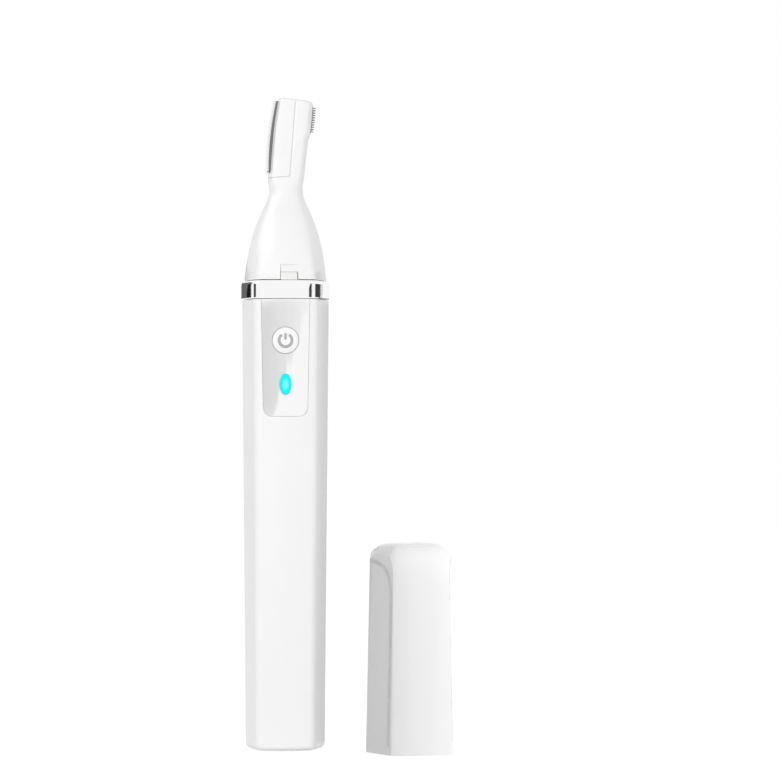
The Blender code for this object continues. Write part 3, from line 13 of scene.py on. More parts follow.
import bpy
import numpy as np
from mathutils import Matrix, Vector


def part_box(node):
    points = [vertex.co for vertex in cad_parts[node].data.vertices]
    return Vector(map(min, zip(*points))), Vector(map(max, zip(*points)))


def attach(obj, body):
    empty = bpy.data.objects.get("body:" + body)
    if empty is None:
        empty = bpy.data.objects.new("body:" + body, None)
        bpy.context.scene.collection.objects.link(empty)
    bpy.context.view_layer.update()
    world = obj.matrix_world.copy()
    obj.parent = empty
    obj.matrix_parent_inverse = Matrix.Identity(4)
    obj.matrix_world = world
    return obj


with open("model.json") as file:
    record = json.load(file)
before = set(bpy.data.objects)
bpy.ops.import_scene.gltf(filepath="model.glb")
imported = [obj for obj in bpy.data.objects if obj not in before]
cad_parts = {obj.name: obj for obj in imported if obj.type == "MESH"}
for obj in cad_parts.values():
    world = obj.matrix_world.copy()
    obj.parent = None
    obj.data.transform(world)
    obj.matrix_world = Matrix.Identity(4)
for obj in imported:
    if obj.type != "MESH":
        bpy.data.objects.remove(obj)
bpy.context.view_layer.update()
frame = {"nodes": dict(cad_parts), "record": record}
nodes = frame["nodes"]
slot_of = {part["node"]: part["material_slot"] for part in frame["record"]["subparts"]}
MM = 0.001

# %% [markdown]
# ## Smooth moulded surfaces
# A moulded housing is one continuous skin, but the model brings it as loose flat triangles. The points
# are welded while rendering, the surface is shaded smooth, and it is split again wherever it really turns
# a corner. Large facets keep their flat look because each corner point leans towards the widest face
# beside it. The polished ring is split at much smaller corners, so that its side faces are true mirrors,
# and the cone, which has no facets on the real one, counts every face the same and stays round.

# %% Shade the parts as moulded and turned surfaces
CORNER_DEGREES, RING_CORNER_DEGREES = 32, 8
WELD_DISTANCE = 2e-7
FACET_WEIGHT = 60


def soften(part, angle, facets):
    """Weld, split at edges sharper than the angle, and for facets weight each normal by its faces' area."""
    part.data.shade_smooth()
    weld = part.modifiers.new("weld", "WELD")
    weld.merge_threshold = WELD_DISTANCE
    split = part.modifiers.new("corners", "EDGE_SPLIT")
    split.split_angle = math.radians(angle)
    if facets:
        flatten = part.modifiers.new("facets", "WEIGHTED_NORMAL")
        flatten.keep_sharp = True
        flatten.weight = FACET_WEIGHT


for name, part in nodes.items():
    corner_angle = RING_CORNER_DEGREES if name == "chrome_ring" else CORNER_DEGREES
    soften(part, corner_angle, facets=name != "head_shell")
print("softened", len(nodes), "parts")

# %% [markdown]
# ## One recipe for every finish
# No real surface has a single colour or a perfectly even polish. Each finish starts from one shader and
# adds three small things worked out in space: a slow drift of the colour, a drift of the polish, and a
# fine relief. The noise is read in Object coordinates, so the pattern is fixed to the part and follows it
# when it moves.

# %% An empty finish and the joints between shader nodes
finishes = {}


def new_finish(name, colour, roughness, metallic=0.0, ior=1.5):
    """An empty finish, kept in the list; the even values are set on the shader itself."""
    mat = bpy.data.materials.new(name)
    mat.use_nodes = True
    tree = mat.node_tree
    shader = tree.nodes["Principled BSDF"]
    shader.inputs["Base Color"].default_value = (*colour, 1.0)
    shader.inputs["Roughness"].default_value = roughness
    shader.inputs["Metallic"].default_value = metallic
    shader.inputs["IOR"].default_value = ior
    finishes[name] = mat
    return tree, shader


def feed(tree, socket, value):
    """Give a socket its value: a link from another node's output, a colour, or a plain number."""
    if isinstance(value, bpy.types.NodeSocket):
        tree.links.new(value, socket)
    elif isinstance(value, tuple):
        socket.default_value = (*value, 1.0)
    else:
        socket.default_value = value


def arithmetic(tree, operation, *values):
    """One math operation on numbers or on other nodes' outputs."""
    node = tree.nodes.new("ShaderNodeMath")
    node.operation = operation
    for socket, value in zip(node.inputs, values):
        feed(tree, socket, value)
    return node.outputs[0]


def map_range(tree, value, start, end, low, high, kind="LINEAR"):
    """Carry a value from the range start to end over to the range low to high, and hold it at both ends."""
    node = tree.nodes.new("ShaderNodeMapRange")
    node.interpolation_type = kind
    limits = {"From Min": start, "From Max": end, "To Min": low, "To Max": high}
    for socket_name, number in limits.items():
        node.inputs[socket_name].default_value = number
    tree.links.new(value, node.inputs["Value"])
    return node.outputs["Result"]


print("ready to make finishes, none yet:", finishes)

# %% Noise, and the drift and relief made from it
NOISE_LOW, NOISE_HIGH = 0.35, 0.65
# The Mix node has sockets of the same name for each kind of value; these are the colours' places.
COLOUR_A, COLOUR_B, COLOUR_RESULT = 6, 7, 2


def noise(tree, size, stretch=(1, 1, 1), turn=(0, 0, 0), detail=3.0):
    """Noise whose grains are about size metres across, stretched along the axes by stretch."""
    place = tree.nodes.new("ShaderNodeTexCoord")
    mapping = tree.nodes.new("ShaderNodeMapping")
    mapping.inputs["Rotation"].default_value = turn
    mapping.inputs["Scale"].default_value = stretch
    grain = tree.nodes.new("ShaderNodeTexNoise")
    grain.inputs["Scale"].default_value = 1.0 / size
    grain.inputs["Detail"].default_value = detail
    tree.links.new(place.outputs["Object"], mapping.inputs["Vector"])
    tree.links.new(mapping.outputs["Vector"], grain.inputs["Vector"])
    return grain.outputs["Fac"]


def spread(tree, value, low, high):
    """Map a noise value, which stays mostly between NOISE_LOW and NOISE_HIGH, onto low to high."""
    return map_range(tree, value, NOISE_LOW, NOISE_HIGH, low, high)


def blend(tree, factor, first, second):
    """Mix two colours by a factor."""
    node = tree.nodes.new("ShaderNodeMix")
    node.data_type = "RGBA"
    feed(tree, node.inputs[COLOUR_A], first)
    feed(tree, node.inputs[COLOUR_B], second)
    tree.links.new(factor, node.inputs["Factor"])
    return node.outputs[COLOUR_RESULT]


def relief(tree, shader, height, distance, strength):
    """Tilt the surface's normal as if a height value from 0 to 1 raised it by the distance."""
    bump = tree.nodes.new("ShaderNodeBump")
    bump.inputs["Strength"].default_value = strength
    bump.inputs["Distance"].default_value = distance
    tree.links.new(height, bump.inputs["Height"])
    tree.links.new(bump.outputs["Normal"], shader.inputs["Normal"])


def drift(tree, shader, colour, amount, size, polish):
    """Let the colour drift by amount and the roughness within polish, over patches about size across."""
    patch = noise(tree, size)
    darker = tuple(c * (1 - amount) for c in colour)
    tint = blend(tree, spread(tree, patch, 0.0, 1.0), darker, colour)
    tree.links.new(tint, shader.inputs["Base Color"])
    tree.links.new(spread(tree, noise(tree, size * 0.4), *polish), shader.inputs["Roughness"])
    return tint


print("noise stretched from", NOISE_LOW, "to", NOISE_HIGH)

# %% [markdown]
# ## White gloss plastic
# The housing, the head and the cap are polished white mouldings. Such a surface is a bright diffuse body
# under a clear skin, with a very shallow waviness from the mould and a polish that varies a little from
# place to place. The cap and the button take the same recipe, each with a polish of its own.

# %% White plastics
WHITE = (0.88, 0.882, 0.88)


def gloss_plastic(name, colour, polish):
    """Polished moulding: faint colour drift, uneven polish, and long shallow waves."""
    tree, shader = new_finish(name, colour, polish[0])
    drift(tree, shader, colour, amount=0.012, size=0.012, polish=polish)
    waves = noise(tree, size=0.006, stretch=(1, 1, 0.35), detail=1.0)
    relief(tree, shader, waves, distance=0.00002, strength=0.25)


gloss_plastic("white_gloss", WHITE, polish=(0.16, 0.22))
gloss_plastic("cap_white", WHITE, polish=(0.14, 0.2))
gloss_plastic("button_white", (0.9, 0.9, 0.9), polish=(0.2, 0.26))
print("white plastics:", sorted(finishes))

# %% [markdown]
# ## The pale grey panel
# The inlay behind the button is a mirror-smooth pale grey that shows the studio in it: the sharp slanting
# border in the photograph is the edge of a reflected screen. A little metal in the shader gives it that
# stronger reflection. Round the light window the base colour turns cyan: a painted glow standing for the
# light's spill into the panel.


# %% Panel finish with a painted glow round its light
def distance_from(tree, centre, scale):
    """Length of (point - centre) / scale, worked out in Object coordinates with a scale for each axis."""
    value = tree.nodes.new("ShaderNodeTexCoord").outputs["Object"]
    for operation, operand in (("SUBTRACT", centre), ("DIVIDE", scale)):
        node = tree.nodes.new("ShaderNodeVectorMath")
        node.operation = operation
        node.inputs[1].default_value = operand
        tree.links.new(value, node.inputs[0])
        value = node.outputs["Vector"]
    length = tree.nodes.new("ShaderNodeVectorMath")
    length.operation = "LENGTH"
    tree.links.new(value, length.inputs[0])
    return length.outputs["Value"]


def fade(tree, value, start, end, low, high):
    """Smooth step of a value from start to end, giving low to high."""
    return map_range(tree, value, start, end, low, high, kind="SMOOTHSTEP")


lens_low, lens_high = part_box("led_lens")
lens_centre = (lens_low + lens_high) / 2
light_place = (0.0, lens_low.y, lens_centre.z)
lens_half = ((lens_high.x - lens_low.x) / 2, 1.0, (lens_high.z - lens_low.z) / 2)

PANEL_GREY = (0.9, 0.903, 0.9)
PAINTED_GLOW_SHARE, PAINTED_GLOW_REACH = 0.35, 1.55
tree, shader = new_finish("panel_gloss", PANEL_GREY, 0.04, metallic=0.25)
shade = drift(tree, shader, PANEL_GREY, amount=0.01, size=0.01, polish=(0.03, 0.05))
# Painted glow: near the light window the base colour blends towards cyan, standing for the light's spill.
glow = fade(tree, distance_from(tree, light_place, lens_half), 1.0, PAINTED_GLOW_REACH, PAINTED_GLOW_SHARE, 0.0)
tree.links.new(blend(tree, glow, shade, (0.55, 0.93, 0.93)), shader.inputs["Base Color"])
print("light window at z =", round(lens_centre.z / MM, 1), "mm")

# %% [markdown]
# ## The cyan light
# The light pipe is a small oval of clear plastic, lit from behind by a lamp. Its middle is paler, because
# the lamp sits right behind it, and its rim is the purest cyan. The shader gives off that colour by
# itself, with a clear skin over it.

# %% Lit light pipe
tree, shader = new_finish("light_cyan", (0.02, 0.75, 0.75), 0.08, ior=1.3)
core = fade(tree, distance_from(tree, light_place, lens_half), 0.05, 0.75, 0.0, 1.0)
given_off = blend(tree, core, (0.2, 1.0, 1.0), (0.0, 0.95, 0.95))
tree.links.new(given_off, shader.inputs["Emission Color"])
shader.inputs["Emission Strength"].default_value = 0.8
# The body colour is painted paler in the middle too: painted light from the lamp behind.
body_colour_painted_core = blend(tree, core, (0.08, 0.3, 0.3), (0.004, 0.12, 0.12))
tree.links.new(body_colour_painted_core, shader.inputs["Base Color"])
print("light pipe", [round(2 * lens_half[axis] / MM, 1) for axis in (0, 2)], "mm")

# %% [markdown]
# ## Metals
# The ring is plated and polished like a mirror, so nearly all that one sees in it is the studio. The
# combs and blades are hardened steel, given a dark colour, with fine scratches across the strip,
# towards the tips of the teeth; on the long comb's band that dark is a painted dark reflection. The inner
# metal parts, such as the motor's can and the socket, are drawn sheet with long streaks.


# %% Plated, ground and drawn metal
def metal(name, colour, roughness, size, stretch, turn=(0, 0, 0), depth=0.000003, vary=0.08):
    """Metal with streaks: noise stretched one way drives the roughness, a slight shade and the relief."""
    tree, shader = new_finish(name, colour, roughness, metallic=1.0)
    streak = noise(tree, size, stretch, turn, detail=4.0)
    darker = tuple(c * (1 - vary) for c in colour)
    shade = blend(tree, spread(tree, streak, 0.0, 1.0), darker, colour)
    tree.links.new(shade, shader.inputs["Base Color"])
    rough = spread(tree, streak, roughness * 0.8, roughness * 1.25)
    tree.links.new(rough, shader.inputs["Roughness"])
    relief(tree, shader, streak, depth, strength=0.2)
    return tree, shader


HEAD_LEAN = math.radians(6)
DARK_STEEL = dict(
    colour=(0.22, 0.225, 0.235), roughness=0.36,
    size=0.0004, stretch=(0.2, 0.2, 3), turn=(0, -HEAD_LEAN, 0),
)
metal("ring_chrome", (0.93, 0.93, 0.935), 0.035, size=0.004, stretch=(1, 1, 3), depth=0.000001, vary=0.01)
metal("blade_steel", **DARK_STEEL)
metal("steel_part", (0.62, 0.62, 0.64), 0.28, size=0.0006, stretch=(3, 3, 0.15))
metal("brass_part", (0.8, 0.6, 0.28), 0.25, size=0.0005, stretch=(3, 3, 0.3))
print("metals:", [n for n in finishes if "chrome" in n or "steel" in n or "brass" in n])

# %% [markdown]
# ## Teeth painted bright
# The long strip's teeth are painted pale, standing for the white seen through them, and the band behind
# them is painted dark, a painted dark reflection. The tips lie on a curve, and the border follows it at
# the depth of the teeth. The curve is fitted to the part's own outermost points, and the shader works the
# same curve out for each point of the surface.

# %% The curve that the tips lie on
LAYER_HEIGHT = 0.5 * MM


def tip_curve(part):
    """Coefficients of x = bend z^2 + slope z + base through the outermost point of each layer of height."""
    points = np.empty(3 * len(part.data.vertices))
    part.data.vertices.foreach_get("co", points)
    x, _, z = points.reshape(-1, 3).T
    layer = np.round(z / LAYER_HEIGHT).astype(int)
    inner_layers = np.unique(layer)[1:-1]
    tips = np.array([(z[layer == k].mean(), x[layer == k].min()) for k in inner_layers])
    return [float(v) for v in np.polyfit(tips[:, 0], tips[:, 1], 2)]


bend, slope, base = tip_curve(nodes["long_comb"])
for height in (120, 127, 134):
    tip_x = np.polyval((bend, slope, base), height * MM)
    print("tip at z", height, "mm: x =", round(float(tip_x) / MM, 2), "mm")


# %% Teeth painted bright and a band painted dark
def object_axes(tree):
    """The three Object coordinates of the point that is being shaded."""
    place = tree.nodes.new("ShaderNodeTexCoord")
    axes = tree.nodes.new("ShaderNodeSeparateXYZ")
    tree.links.new(place.outputs["Object"], axes.inputs[0])
    return axes.outputs


TOOTH_DEPTH = 0.6 * MM
PAINTED_BORDER_START, PAINTED_BORDER_END = 0.9, 1.15
tree, shader = metal("comb_steel_painted_bands", **DARK_STEEL)
axes = object_axes(tree)
climb = arithmetic(tree, "MULTIPLY_ADD", axes["Z"], bend, slope)
tip = arithmetic(tree, "MULTIPLY_ADD", axes["Z"], climb, base)
behind_tip = arithmetic(tree, "MULTIPLY_ADD", tip, -1.0, axes["X"])
# Painted: pale teeth for the white seen through them, a dark band for the dark the strip reflects.
root = fade(tree, behind_tip, TOOTH_DEPTH * PAINTED_BORDER_START, TOOTH_DEPTH * PAINTED_BORDER_END, 0.0, 1.0)
dark = shader.inputs["Base Color"].links[0].from_socket
tree.links.new(blend(tree, root, (0.84, 0.85, 0.86), dark), shader.inputs["Base Color"])
print("teeth bright to", round(TOOTH_DEPTH / MM, 2), "mm behind their tips")

# %% [markdown]
# ## Inner plastics and rubber
# The chassis, the motor's rear cap and the black mouldings are never polished: the mould leaves a fine
# spark texture. The rocker, the eccentric and the blade carrier are acetal, which is a little waxy and
# lets some light into it. The seals are soft black rubber with a dusty, rougher surface.


# %% Moulded inner plastics and seals
def matte_plastic(name, colour, roughness, depth=0.000012, grain=0.0003):
    """Unpolished moulding: fine even grain in the relief, and a slow drift of shade and roughness."""
    tree, shader = new_finish(name, colour, roughness)
    polish = (roughness * 0.9, min(1.0, roughness * 1.1))
    drift(tree, shader, colour, amount=0.04, size=0.006, polish=polish)
    relief(tree, shader, noise(tree, grain, detail=2.0), depth, strength=0.4)
    return shader


matte_plastic("inner_white", (0.86, 0.86, 0.85), 0.45)
acetal = matte_plastic("low_friction", (0.88, 0.88, 0.85), 0.35, depth=0.000006)
acetal.inputs["Subsurface Weight"].default_value = 0.15
acetal.inputs["Subsurface Radius"].default_value = (0.0008, 0.0007, 0.0006)
matte_plastic("black_plastic", (0.028, 0.028, 0.03), 0.5)
matte_plastic("seal_rubber", (0.045, 0.045, 0.048), 0.75, depth=0.00002, grain=0.0002)
matte_plastic("lamp", (0.9, 0.82, 0.42), 0.4)
print("finishes so far:", len(finishes))

# %% [markdown]
# ## Circuit board and battery wrap
# The board is glass fibre under a green lacquer. Copper tracks lie below it as slightly paler and raised
# bands, which a brick pattern draws well at this size. The board stands upright and faces forwards, so
# the pattern is turned to lie in its plane. The cell is a steel can in blue shrink film, with thin
# wrinkles.

# %% Board lacquer and shrink film
tree, shader = new_finish("board_green", (0.02, 0.2, 0.09), 0.3)
place = tree.nodes.new("ShaderNodeTexCoord")
upright = tree.nodes.new("ShaderNodeMapping")
upright.inputs["Rotation"].default_value = (math.pi / 2, 0, math.pi / 2)
tracks = tree.nodes.new("ShaderNodeTexBrick")
tracks.inputs["Scale"].default_value = 240
tracks.inputs["Mortar Size"].default_value = 0.06
tracks.inputs["Mortar Smooth"].default_value = 0.3
tree.links.new(place.outputs["Object"], upright.inputs["Vector"])
tree.links.new(upright.outputs["Vector"], tracks.inputs["Vector"])
lacquer = blend(tree, tracks.outputs["Fac"], (0.018, 0.18, 0.08), (0.05, 0.32, 0.15))
tree.links.new(lacquer, shader.inputs["Base Color"])
relief(tree, shader, tracks.outputs["Fac"], distance=0.00003, strength=0.5)

WRAP_BLUE = (0.06, 0.2, 0.5)
tree, shader = new_finish("cell_wrap", WRAP_BLUE, 0.3)
drift(tree, shader, WRAP_BLUE, amount=0.1, size=0.01, polish=(0.22, 0.36))
wrinkles = noise(tree, size=0.0015, stretch=(0.4, 0.4, 2.5), detail=2.0)
relief(tree, shader, wrinkles, distance=0.00004, strength=0.35)
print("finishes:", len(finishes))

# %% Give every part its finish
OWN_FINISH = {"long_comb": "comb_steel_painted_bands"}
for name, part in nodes.items():
    part.data.materials.clear()
    part.data.materials.append(finishes[OWN_FINISH.get(name, slot_of[name])])
print("finished", len(nodes), "parts with", len(set(slot_of.values())), "finishes")

# %% [markdown]
# ## The printed mark on the button
# A broken ring with a short bar in its gap is the usual sign for power. On the real button it is a thin
# layer of grey ink on a gently domed face. It could be a picture mapped onto the button, but a real thin
# solid keeps a clean edge at any distance. The shape is a strip: a closed cross-section carried along a
# path, drawn in at both ends, and lifted onto the dome.

# %% A flat strip along a path
END_HALF_WIDTH = 1e-7


def strip(path, width, thickness, ends=9, sides=16, square=0.4):
    """Grid along a path in X and Z, whose cross-section is |across|^(2/square) + |lift|^(2/square) = 1.

    Half the width is the root of half^2 - inset^2, a quarter circle into each rounded end.
    """
    step = np.linalg.norm(np.diff(path, axis=0), axis=1)
    run = np.concatenate([[0.0], np.cumsum(step)])
    half = width / 2
    lead = half * (1 - np.cos(np.linspace(0, np.pi / 2, ends)))
    between = np.linspace(half, run[-1] - half, 4 * len(path))[1:-1]
    s = np.concatenate([lead, between, run[-1] - lead[::-1]])
    x, z = np.interp(s, run, path[:, 0]), np.interp(s, run, path[:, 1])
    along = np.gradient(np.column_stack([x, z]), s, axis=0)
    along /= np.linalg.norm(along, axis=1)[:, None]
    inset = np.clip(half - np.minimum(s, run[-1] - s), 0, half)
    reach = np.sqrt(np.maximum(half ** 2 - inset ** 2, 0)) + END_HALF_WIDTH
    angle = np.linspace(0, 2 * np.pi, sides, endpoint=False)
    across = np.sign(np.cos(angle)) * np.abs(np.cos(angle)) ** square
    lift = np.sign(np.sin(angle)) * np.abs(np.sin(angle)) ** square
    px = x[:, None] - along[:, 1:2] * reach[:, None] * across
    pz = z[:, None] + along[:, 0:1] * reach[:, None] * across
    return px, pz, np.broadcast_to(lift * thickness / 2, px.shape)


def grid_faces(rows, cols):
    """Quads of a grid whose columns close on themselves."""
    r, c = np.meshgrid(np.arange(rows - 1), np.arange(cols), indexing="ij")
    after = (c + 1) % cols
    quads = np.stack([r * cols + c, r * cols + after, (r + 1) * cols + after, (r + 1) * cols + c], -1)
    return quads.reshape(-1, 4)


def add_mesh(name, points, faces):
    """Make an object from an array of points and a list of faces, and put it in the scene."""
    mesh = bpy.data.meshes.new(name)
    mesh.from_pydata(points.tolist(), [], [list(map(int, f)) for f in faces])
    mesh.update()
    obj = bpy.data.objects.new(name, mesh)
    bpy.context.scene.collection.objects.link(obj)
    return obj


def join_strips(name, strips, placed):
    """One mesh from several strips laid on a surface by placed, each closed by its two end polygons."""
    points, faces, start = [], [], 0
    for px, pz, lift in strips:
        block, (rows, cols) = placed(px, pz, lift)
        faces += (grid_faces(rows, cols) + start).tolist()
        faces.append([start + c for c in range(cols)][::-1])
        faces.append([start + (rows - 1) * cols + c for c in range(cols)])
        points.append(block)
        start += len(block)
    return add_mesh(name, np.concatenate(points), faces)


print("strips end in a row of points", 2 * END_HALF_WIDTH / MM, "mm wide")

# %% The button's domed face
button_low, button_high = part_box("power_button")
button_x, button_z = (button_low.x + button_high.x) / 2, (button_low.z + button_high.z) / 2
DOME_RADII = [0.48, 1.45, 2.42, 2.72]
DOME_DEPTHS = [0.0, 0.02, 0.1, 0.3]
INK = 0.02 * MM
INK_RISE = INK * 0.4


def dome(radius):
    """Depth of the button's face below its crown at a radius: flat, then three slopes, each steeper."""
    return np.interp(radius / MM, DOME_RADII, DOME_DEPTHS) * MM


def inked(px, pz, lift):
    """Points of a strip on the dome: 0.028 mm stands out and 0.012 mm is sunk, so no gap shows."""
    radius = np.hypot(px, pz)
    py = button_low.y + dome(radius) - INK_RISE - lift
    points = np.stack([px + button_x, py, pz + button_z], -1)
    return points.reshape(-1, 3), px.shape


print("button centre", [round(v / MM, 2) for v in (button_x, button_z)], "mm")

# %% Broken ring and bar
MARK_RADIUS, MARK_STROKE = 1.33 * MM, 0.6 * MM
GAP_HALF_DEGREES = 31
BAR_START, BAR_END, BAR_STROKE = 0.1 * MM, 1.5 * MM, 0.5 * MM
INK_GREY = (0.42, 0.42, 0.425)

angle = np.radians(np.linspace(90 + GAP_HALF_DEGREES, 450 - GAP_HALF_DEGREES, 73))
ring_path = MARK_RADIUS * np.column_stack([np.cos(angle), np.sin(angle)])
bar_path = np.column_stack([np.zeros(9), np.linspace(BAR_START, BAR_END, 9)])
ring_and_bar = [strip(ring_path, MARK_STROKE, INK * 2), strip(bar_path, BAR_STROKE, INK * 2)]
mark = join_strips("power_mark", ring_and_bar, inked)

tree, shader = new_finish("mark_ink", INK_GREY, 0.45)
drift(tree, shader, INK_GREY, amount=0.05, size=0.0008, polish=(0.4, 0.5))
mark.data.materials.append(finishes["mark_ink"])
mark.data.shade_smooth()
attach(mark, "button")
print("power mark:", len(mark.data.polygons), "faces")

# %% [markdown]
# ## The arched line of painted shade on the cap
# A fine darker line runs round the panel on each side of the cap, up one edge, over in an arch and down
# the other. Its darker grey is painted shade, standing for the shade in the crease along the panel's edge.
# It could be a bump in the material, but a strip of its own keeps a clean outline and stays with the model.
# The two side faces of the cap meet in a fold, so the line is drawn on the unfolded skin, in the distance
# from the fold and the height, and then folded with it. It stands 0.05 to 0.06 mm proud of the cap.

# %% Side faces of the cap
NEAR_BEARING, FAR_BEARING, BEARING_MARGIN = -57, -98, 3
DRAFT_LEAST, DRAFT_MOST = 0.01, 0.04


def side_face(part, bearing):
    """Mean unit normal and offset of the outer wall that looks along a bearing, from -Y towards +X.

    A wall of the cap leans back a little, so its normal rises by a draft between the two limits.
    """
    normal = np.empty(3 * len(part.data.polygons))
    middle = np.empty_like(normal)
    part.data.polygons.foreach_get("normal", normal)
    part.data.polygons.foreach_get("center", middle)
    normal, middle = normal.reshape(-1, 3), middle.reshape(-1, 3)
    looks = np.degrees(np.arctan2(normal[:, 0], -normal[:, 1]))
    drafted = (normal[:, 2] > DRAFT_LEAST) & (normal[:, 2] < DRAFT_MOST)
    wall = drafted & (np.abs(looks - bearing) < BEARING_MARGIN)
    mean = normal[wall].mean(axis=0)
    return mean / np.linalg.norm(mean), float((normal[wall] * middle[wall]).sum(axis=1).mean())


near_normal, near_offset = side_face(nodes["cap_shell"], NEAR_BEARING)
far_normal, far_offset = side_face(nodes["cap_shell"], FAR_BEARING)
cap_low, cap_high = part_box("cap_shell")
cap_axis = np.array([(cap_low.x + cap_high.x) / 2, (cap_low.y + cap_high.y) / 2])
print("side faces", near_normal.round(3), far_normal.round(3))

# %% Points on the folded side
FOLD_WIDTH = 0.6 * MM


def folded(u, z, lift):
    """The fold's point at z, plus u along the near face (or the far one below zero), plus lift outwards.

    The fold is where both faces' planes hold: normal . point = offset. Within FOLD_WIDTH the outward
    direction turns from one face's normal to the other's.
    """
    walls = np.array([near_normal[:2], far_normal[:2]])
    offsets = np.stack([near_offset - near_normal[2] * z.ravel(), far_offset - far_normal[2] * z.ravel()])
    fold = np.linalg.solve(walls, offsets).T.reshape(*z.shape, 2)
    along_near = np.array([-near_normal[1], near_normal[0]]) / np.hypot(*near_normal[:2])
    along_far = np.array([-far_normal[1], far_normal[0]]) / np.hypot(*far_normal[:2])
    flat = fold + u[..., None] * np.where(u[..., None] > 0, along_near, along_far)
    share = np.clip(0.5 + u / FOLD_WIDTH, 0, 1)[..., None]
    points = np.concatenate([flat, z[..., None]], -1)
    points += lift[..., None] * (share * near_normal + (1 - share) * far_normal)
    return points.reshape(-1, 3), u.shape


def opposite(u, z, lift):
    """The same point, half a turn round the cap's axis."""
    points, shape = folded(u, z, lift)
    return np.column_stack([2 * cap_axis - points[:, :2], points[:, 2]]), shape


print("cap's axis at", (cap_axis / MM).round(2), "mm")

# %% Line of painted shade in an arch over the fold
LINE_WIDTH, LINE_THICKNESS, LINE_SQUARE, LINE_POINTS = 0.9 * MM, 0.09 * MM, 0.25, 97
near_half = np.array([(0, 39.5), (1.8, 39.25), (3.7, 38.8), (5.3, 38.1), (6.4, 37.1), (7.1, 35.8),
                      (7.55, 34.2), (7.8, 32), (7.88, 26), (7.88, 17), (7.86, 9), (7.8, 1.6)]) * MM
arch = np.concatenate([near_half[:0:-1] * (-1, 1), near_half])
run = np.concatenate([[0], np.cumsum(np.linalg.norm(np.diff(arch, axis=0), axis=1))])
even = np.linspace(0, run[-1], LINE_POINTS)
arch = np.column_stack([np.interp(even, run, arch[:, 0]), np.interp(even, run, arch[:, 1])])
arch[1:-1] = (arch[:-2] + 2 * arch[1:-1] + arch[2:]) / 4

# Darker grey than the cap: painted shade along the crease at the panel's edge.
gloss_plastic("cap_painted_shade_line", (0.71, 0.715, 0.715), polish=(0.24, 0.32))
line_grid = strip(arch, LINE_WIDTH, LINE_THICKNESS, square=LINE_SQUARE)
cap_painted_shade_lines = []
for name, placed in (("cap_line_left", folded), ("cap_line_right", opposite)):
    line = join_strips(name, [line_grid], placed)
    line.data.materials.append(finishes["cap_painted_shade_line"])
    line.data.shade_smooth()
    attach(line, "cap")
    cap_painted_shade_lines.append(line)
    print(name, len(line.data.polygons), "faces")

# %% [markdown]
# ## Contacts in the charging socket
# Looking up into the port, one sees a row of gold-plated contacts on each side of the black tongue. Each
# is a shallow cushion with rounded edges, so a small dome function on a grid describes it. One grid is
# worked out and copied twelve times along each side in a single array.

# %% Rows of gold contacts
PADS, PAD_GRID, PITCH = 12, 9, 0.5 * MM
PAD_HALF_WIDTH, PAD_HALF_LENGTH = 0.13 * MM, 1.6 * MM
PAD_HEIGHT, PAD_SINK, PAD_MIDDLE = 0.05 * MM, 0.01 * MM, 2.1 * MM


def cushion(u, v):
    """Height of a rounded pad, the root of (1 - u^6)(1 - v^6): flat in the middle, falling at the edges."""
    return np.maximum(0.0, (1 - np.abs(u) ** 6) * (1 - np.abs(v) ** 6)) ** 0.5


tongue_low, tongue_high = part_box("usb_tongue")
u, v = np.meshgrid(np.linspace(-1, 1, PAD_GRID), np.linspace(-1, 1, PAD_GRID), indexing="ij")
columns = (np.arange(PADS) - (PADS - 1) / 2) * PITCH
px = PAD_HALF_WIDTH * u + columns[:, None, None]
pz = np.broadcast_to(tongue_low.z + PAD_MIDDLE + PAD_HALF_LENGTH * v, px.shape)
standing = PAD_HEIGHT * cushion(u, v) - PAD_SINK
r, c = np.meshgrid(np.arange(PAD_GRID - 1), np.arange(PAD_GRID - 1), indexing="ij")
quads = (r * PAD_GRID + c).reshape(-1, 1) + np.array([0, PAD_GRID, PAD_GRID + 1, 1])
points, faces = [], []
for face_y, outwards in ((tongue_low.y, -1), (tongue_high.y, 1)):
    starts = len(points) * px.size + PAD_GRID ** 2 * np.arange(PADS)[:, None, None]
    loops = quads if outwards < 0 else quads[:, ::-1]
    faces.append((starts + loops).reshape(-1, 4))
    py = np.broadcast_to(face_y + outwards * standing, px.shape)
    points.append(np.stack([px, py, pz], -1).reshape(-1, 3))
contacts = add_mesh("socket_contacts", np.concatenate(points), np.concatenate(faces))
contacts.data.materials.append(finishes["brass_part"])
contacts.data.shade_smooth()
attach(contacts, "handle")
print("contacts:", len(contacts.data.polygons), "faces")

# %% [markdown]
# ## Camera
# The photograph was taken from some way off with a long lens: upright edges stay parallel, and the eye is
# level with the middle of the trimmer. The trimmer stands left of the middle of the frame because the
# camera is turned a little to the right, towards the space where the cap is.

# %% Place the camera
SENSOR_WIDTH = 36
FOCAL_LENGTH_PX, FRAME_WIDTH_PX = 2962, 782
CAMERA_PLACE = (0.0, -0.62, 0.0641)
TILT_UP_DEGREES, TURN_RIGHT_DEGREES = 0.95, 2.04
camera_data = bpy.data.cameras.new("studio_camera")
camera_data.sensor_width = SENSOR_WIDTH
camera_data.lens = SENSOR_WIDTH * FOCAL_LENGTH_PX / FRAME_WIDTH_PX
camera_data.clip_start = 0.01
camera = bpy.data.objects.new("studio_camera", camera_data)
camera.location = CAMERA_PLACE
camera.rotation_euler = (math.radians(90 + TILT_UP_DEGREES), 0, math.radians(-TURN_RIGHT_DEGREES))
bpy.context.scene.collection.objects.link(camera)
bpy.context.scene.camera = camera
print("lens", round(camera_data.lens, 1), "mm")

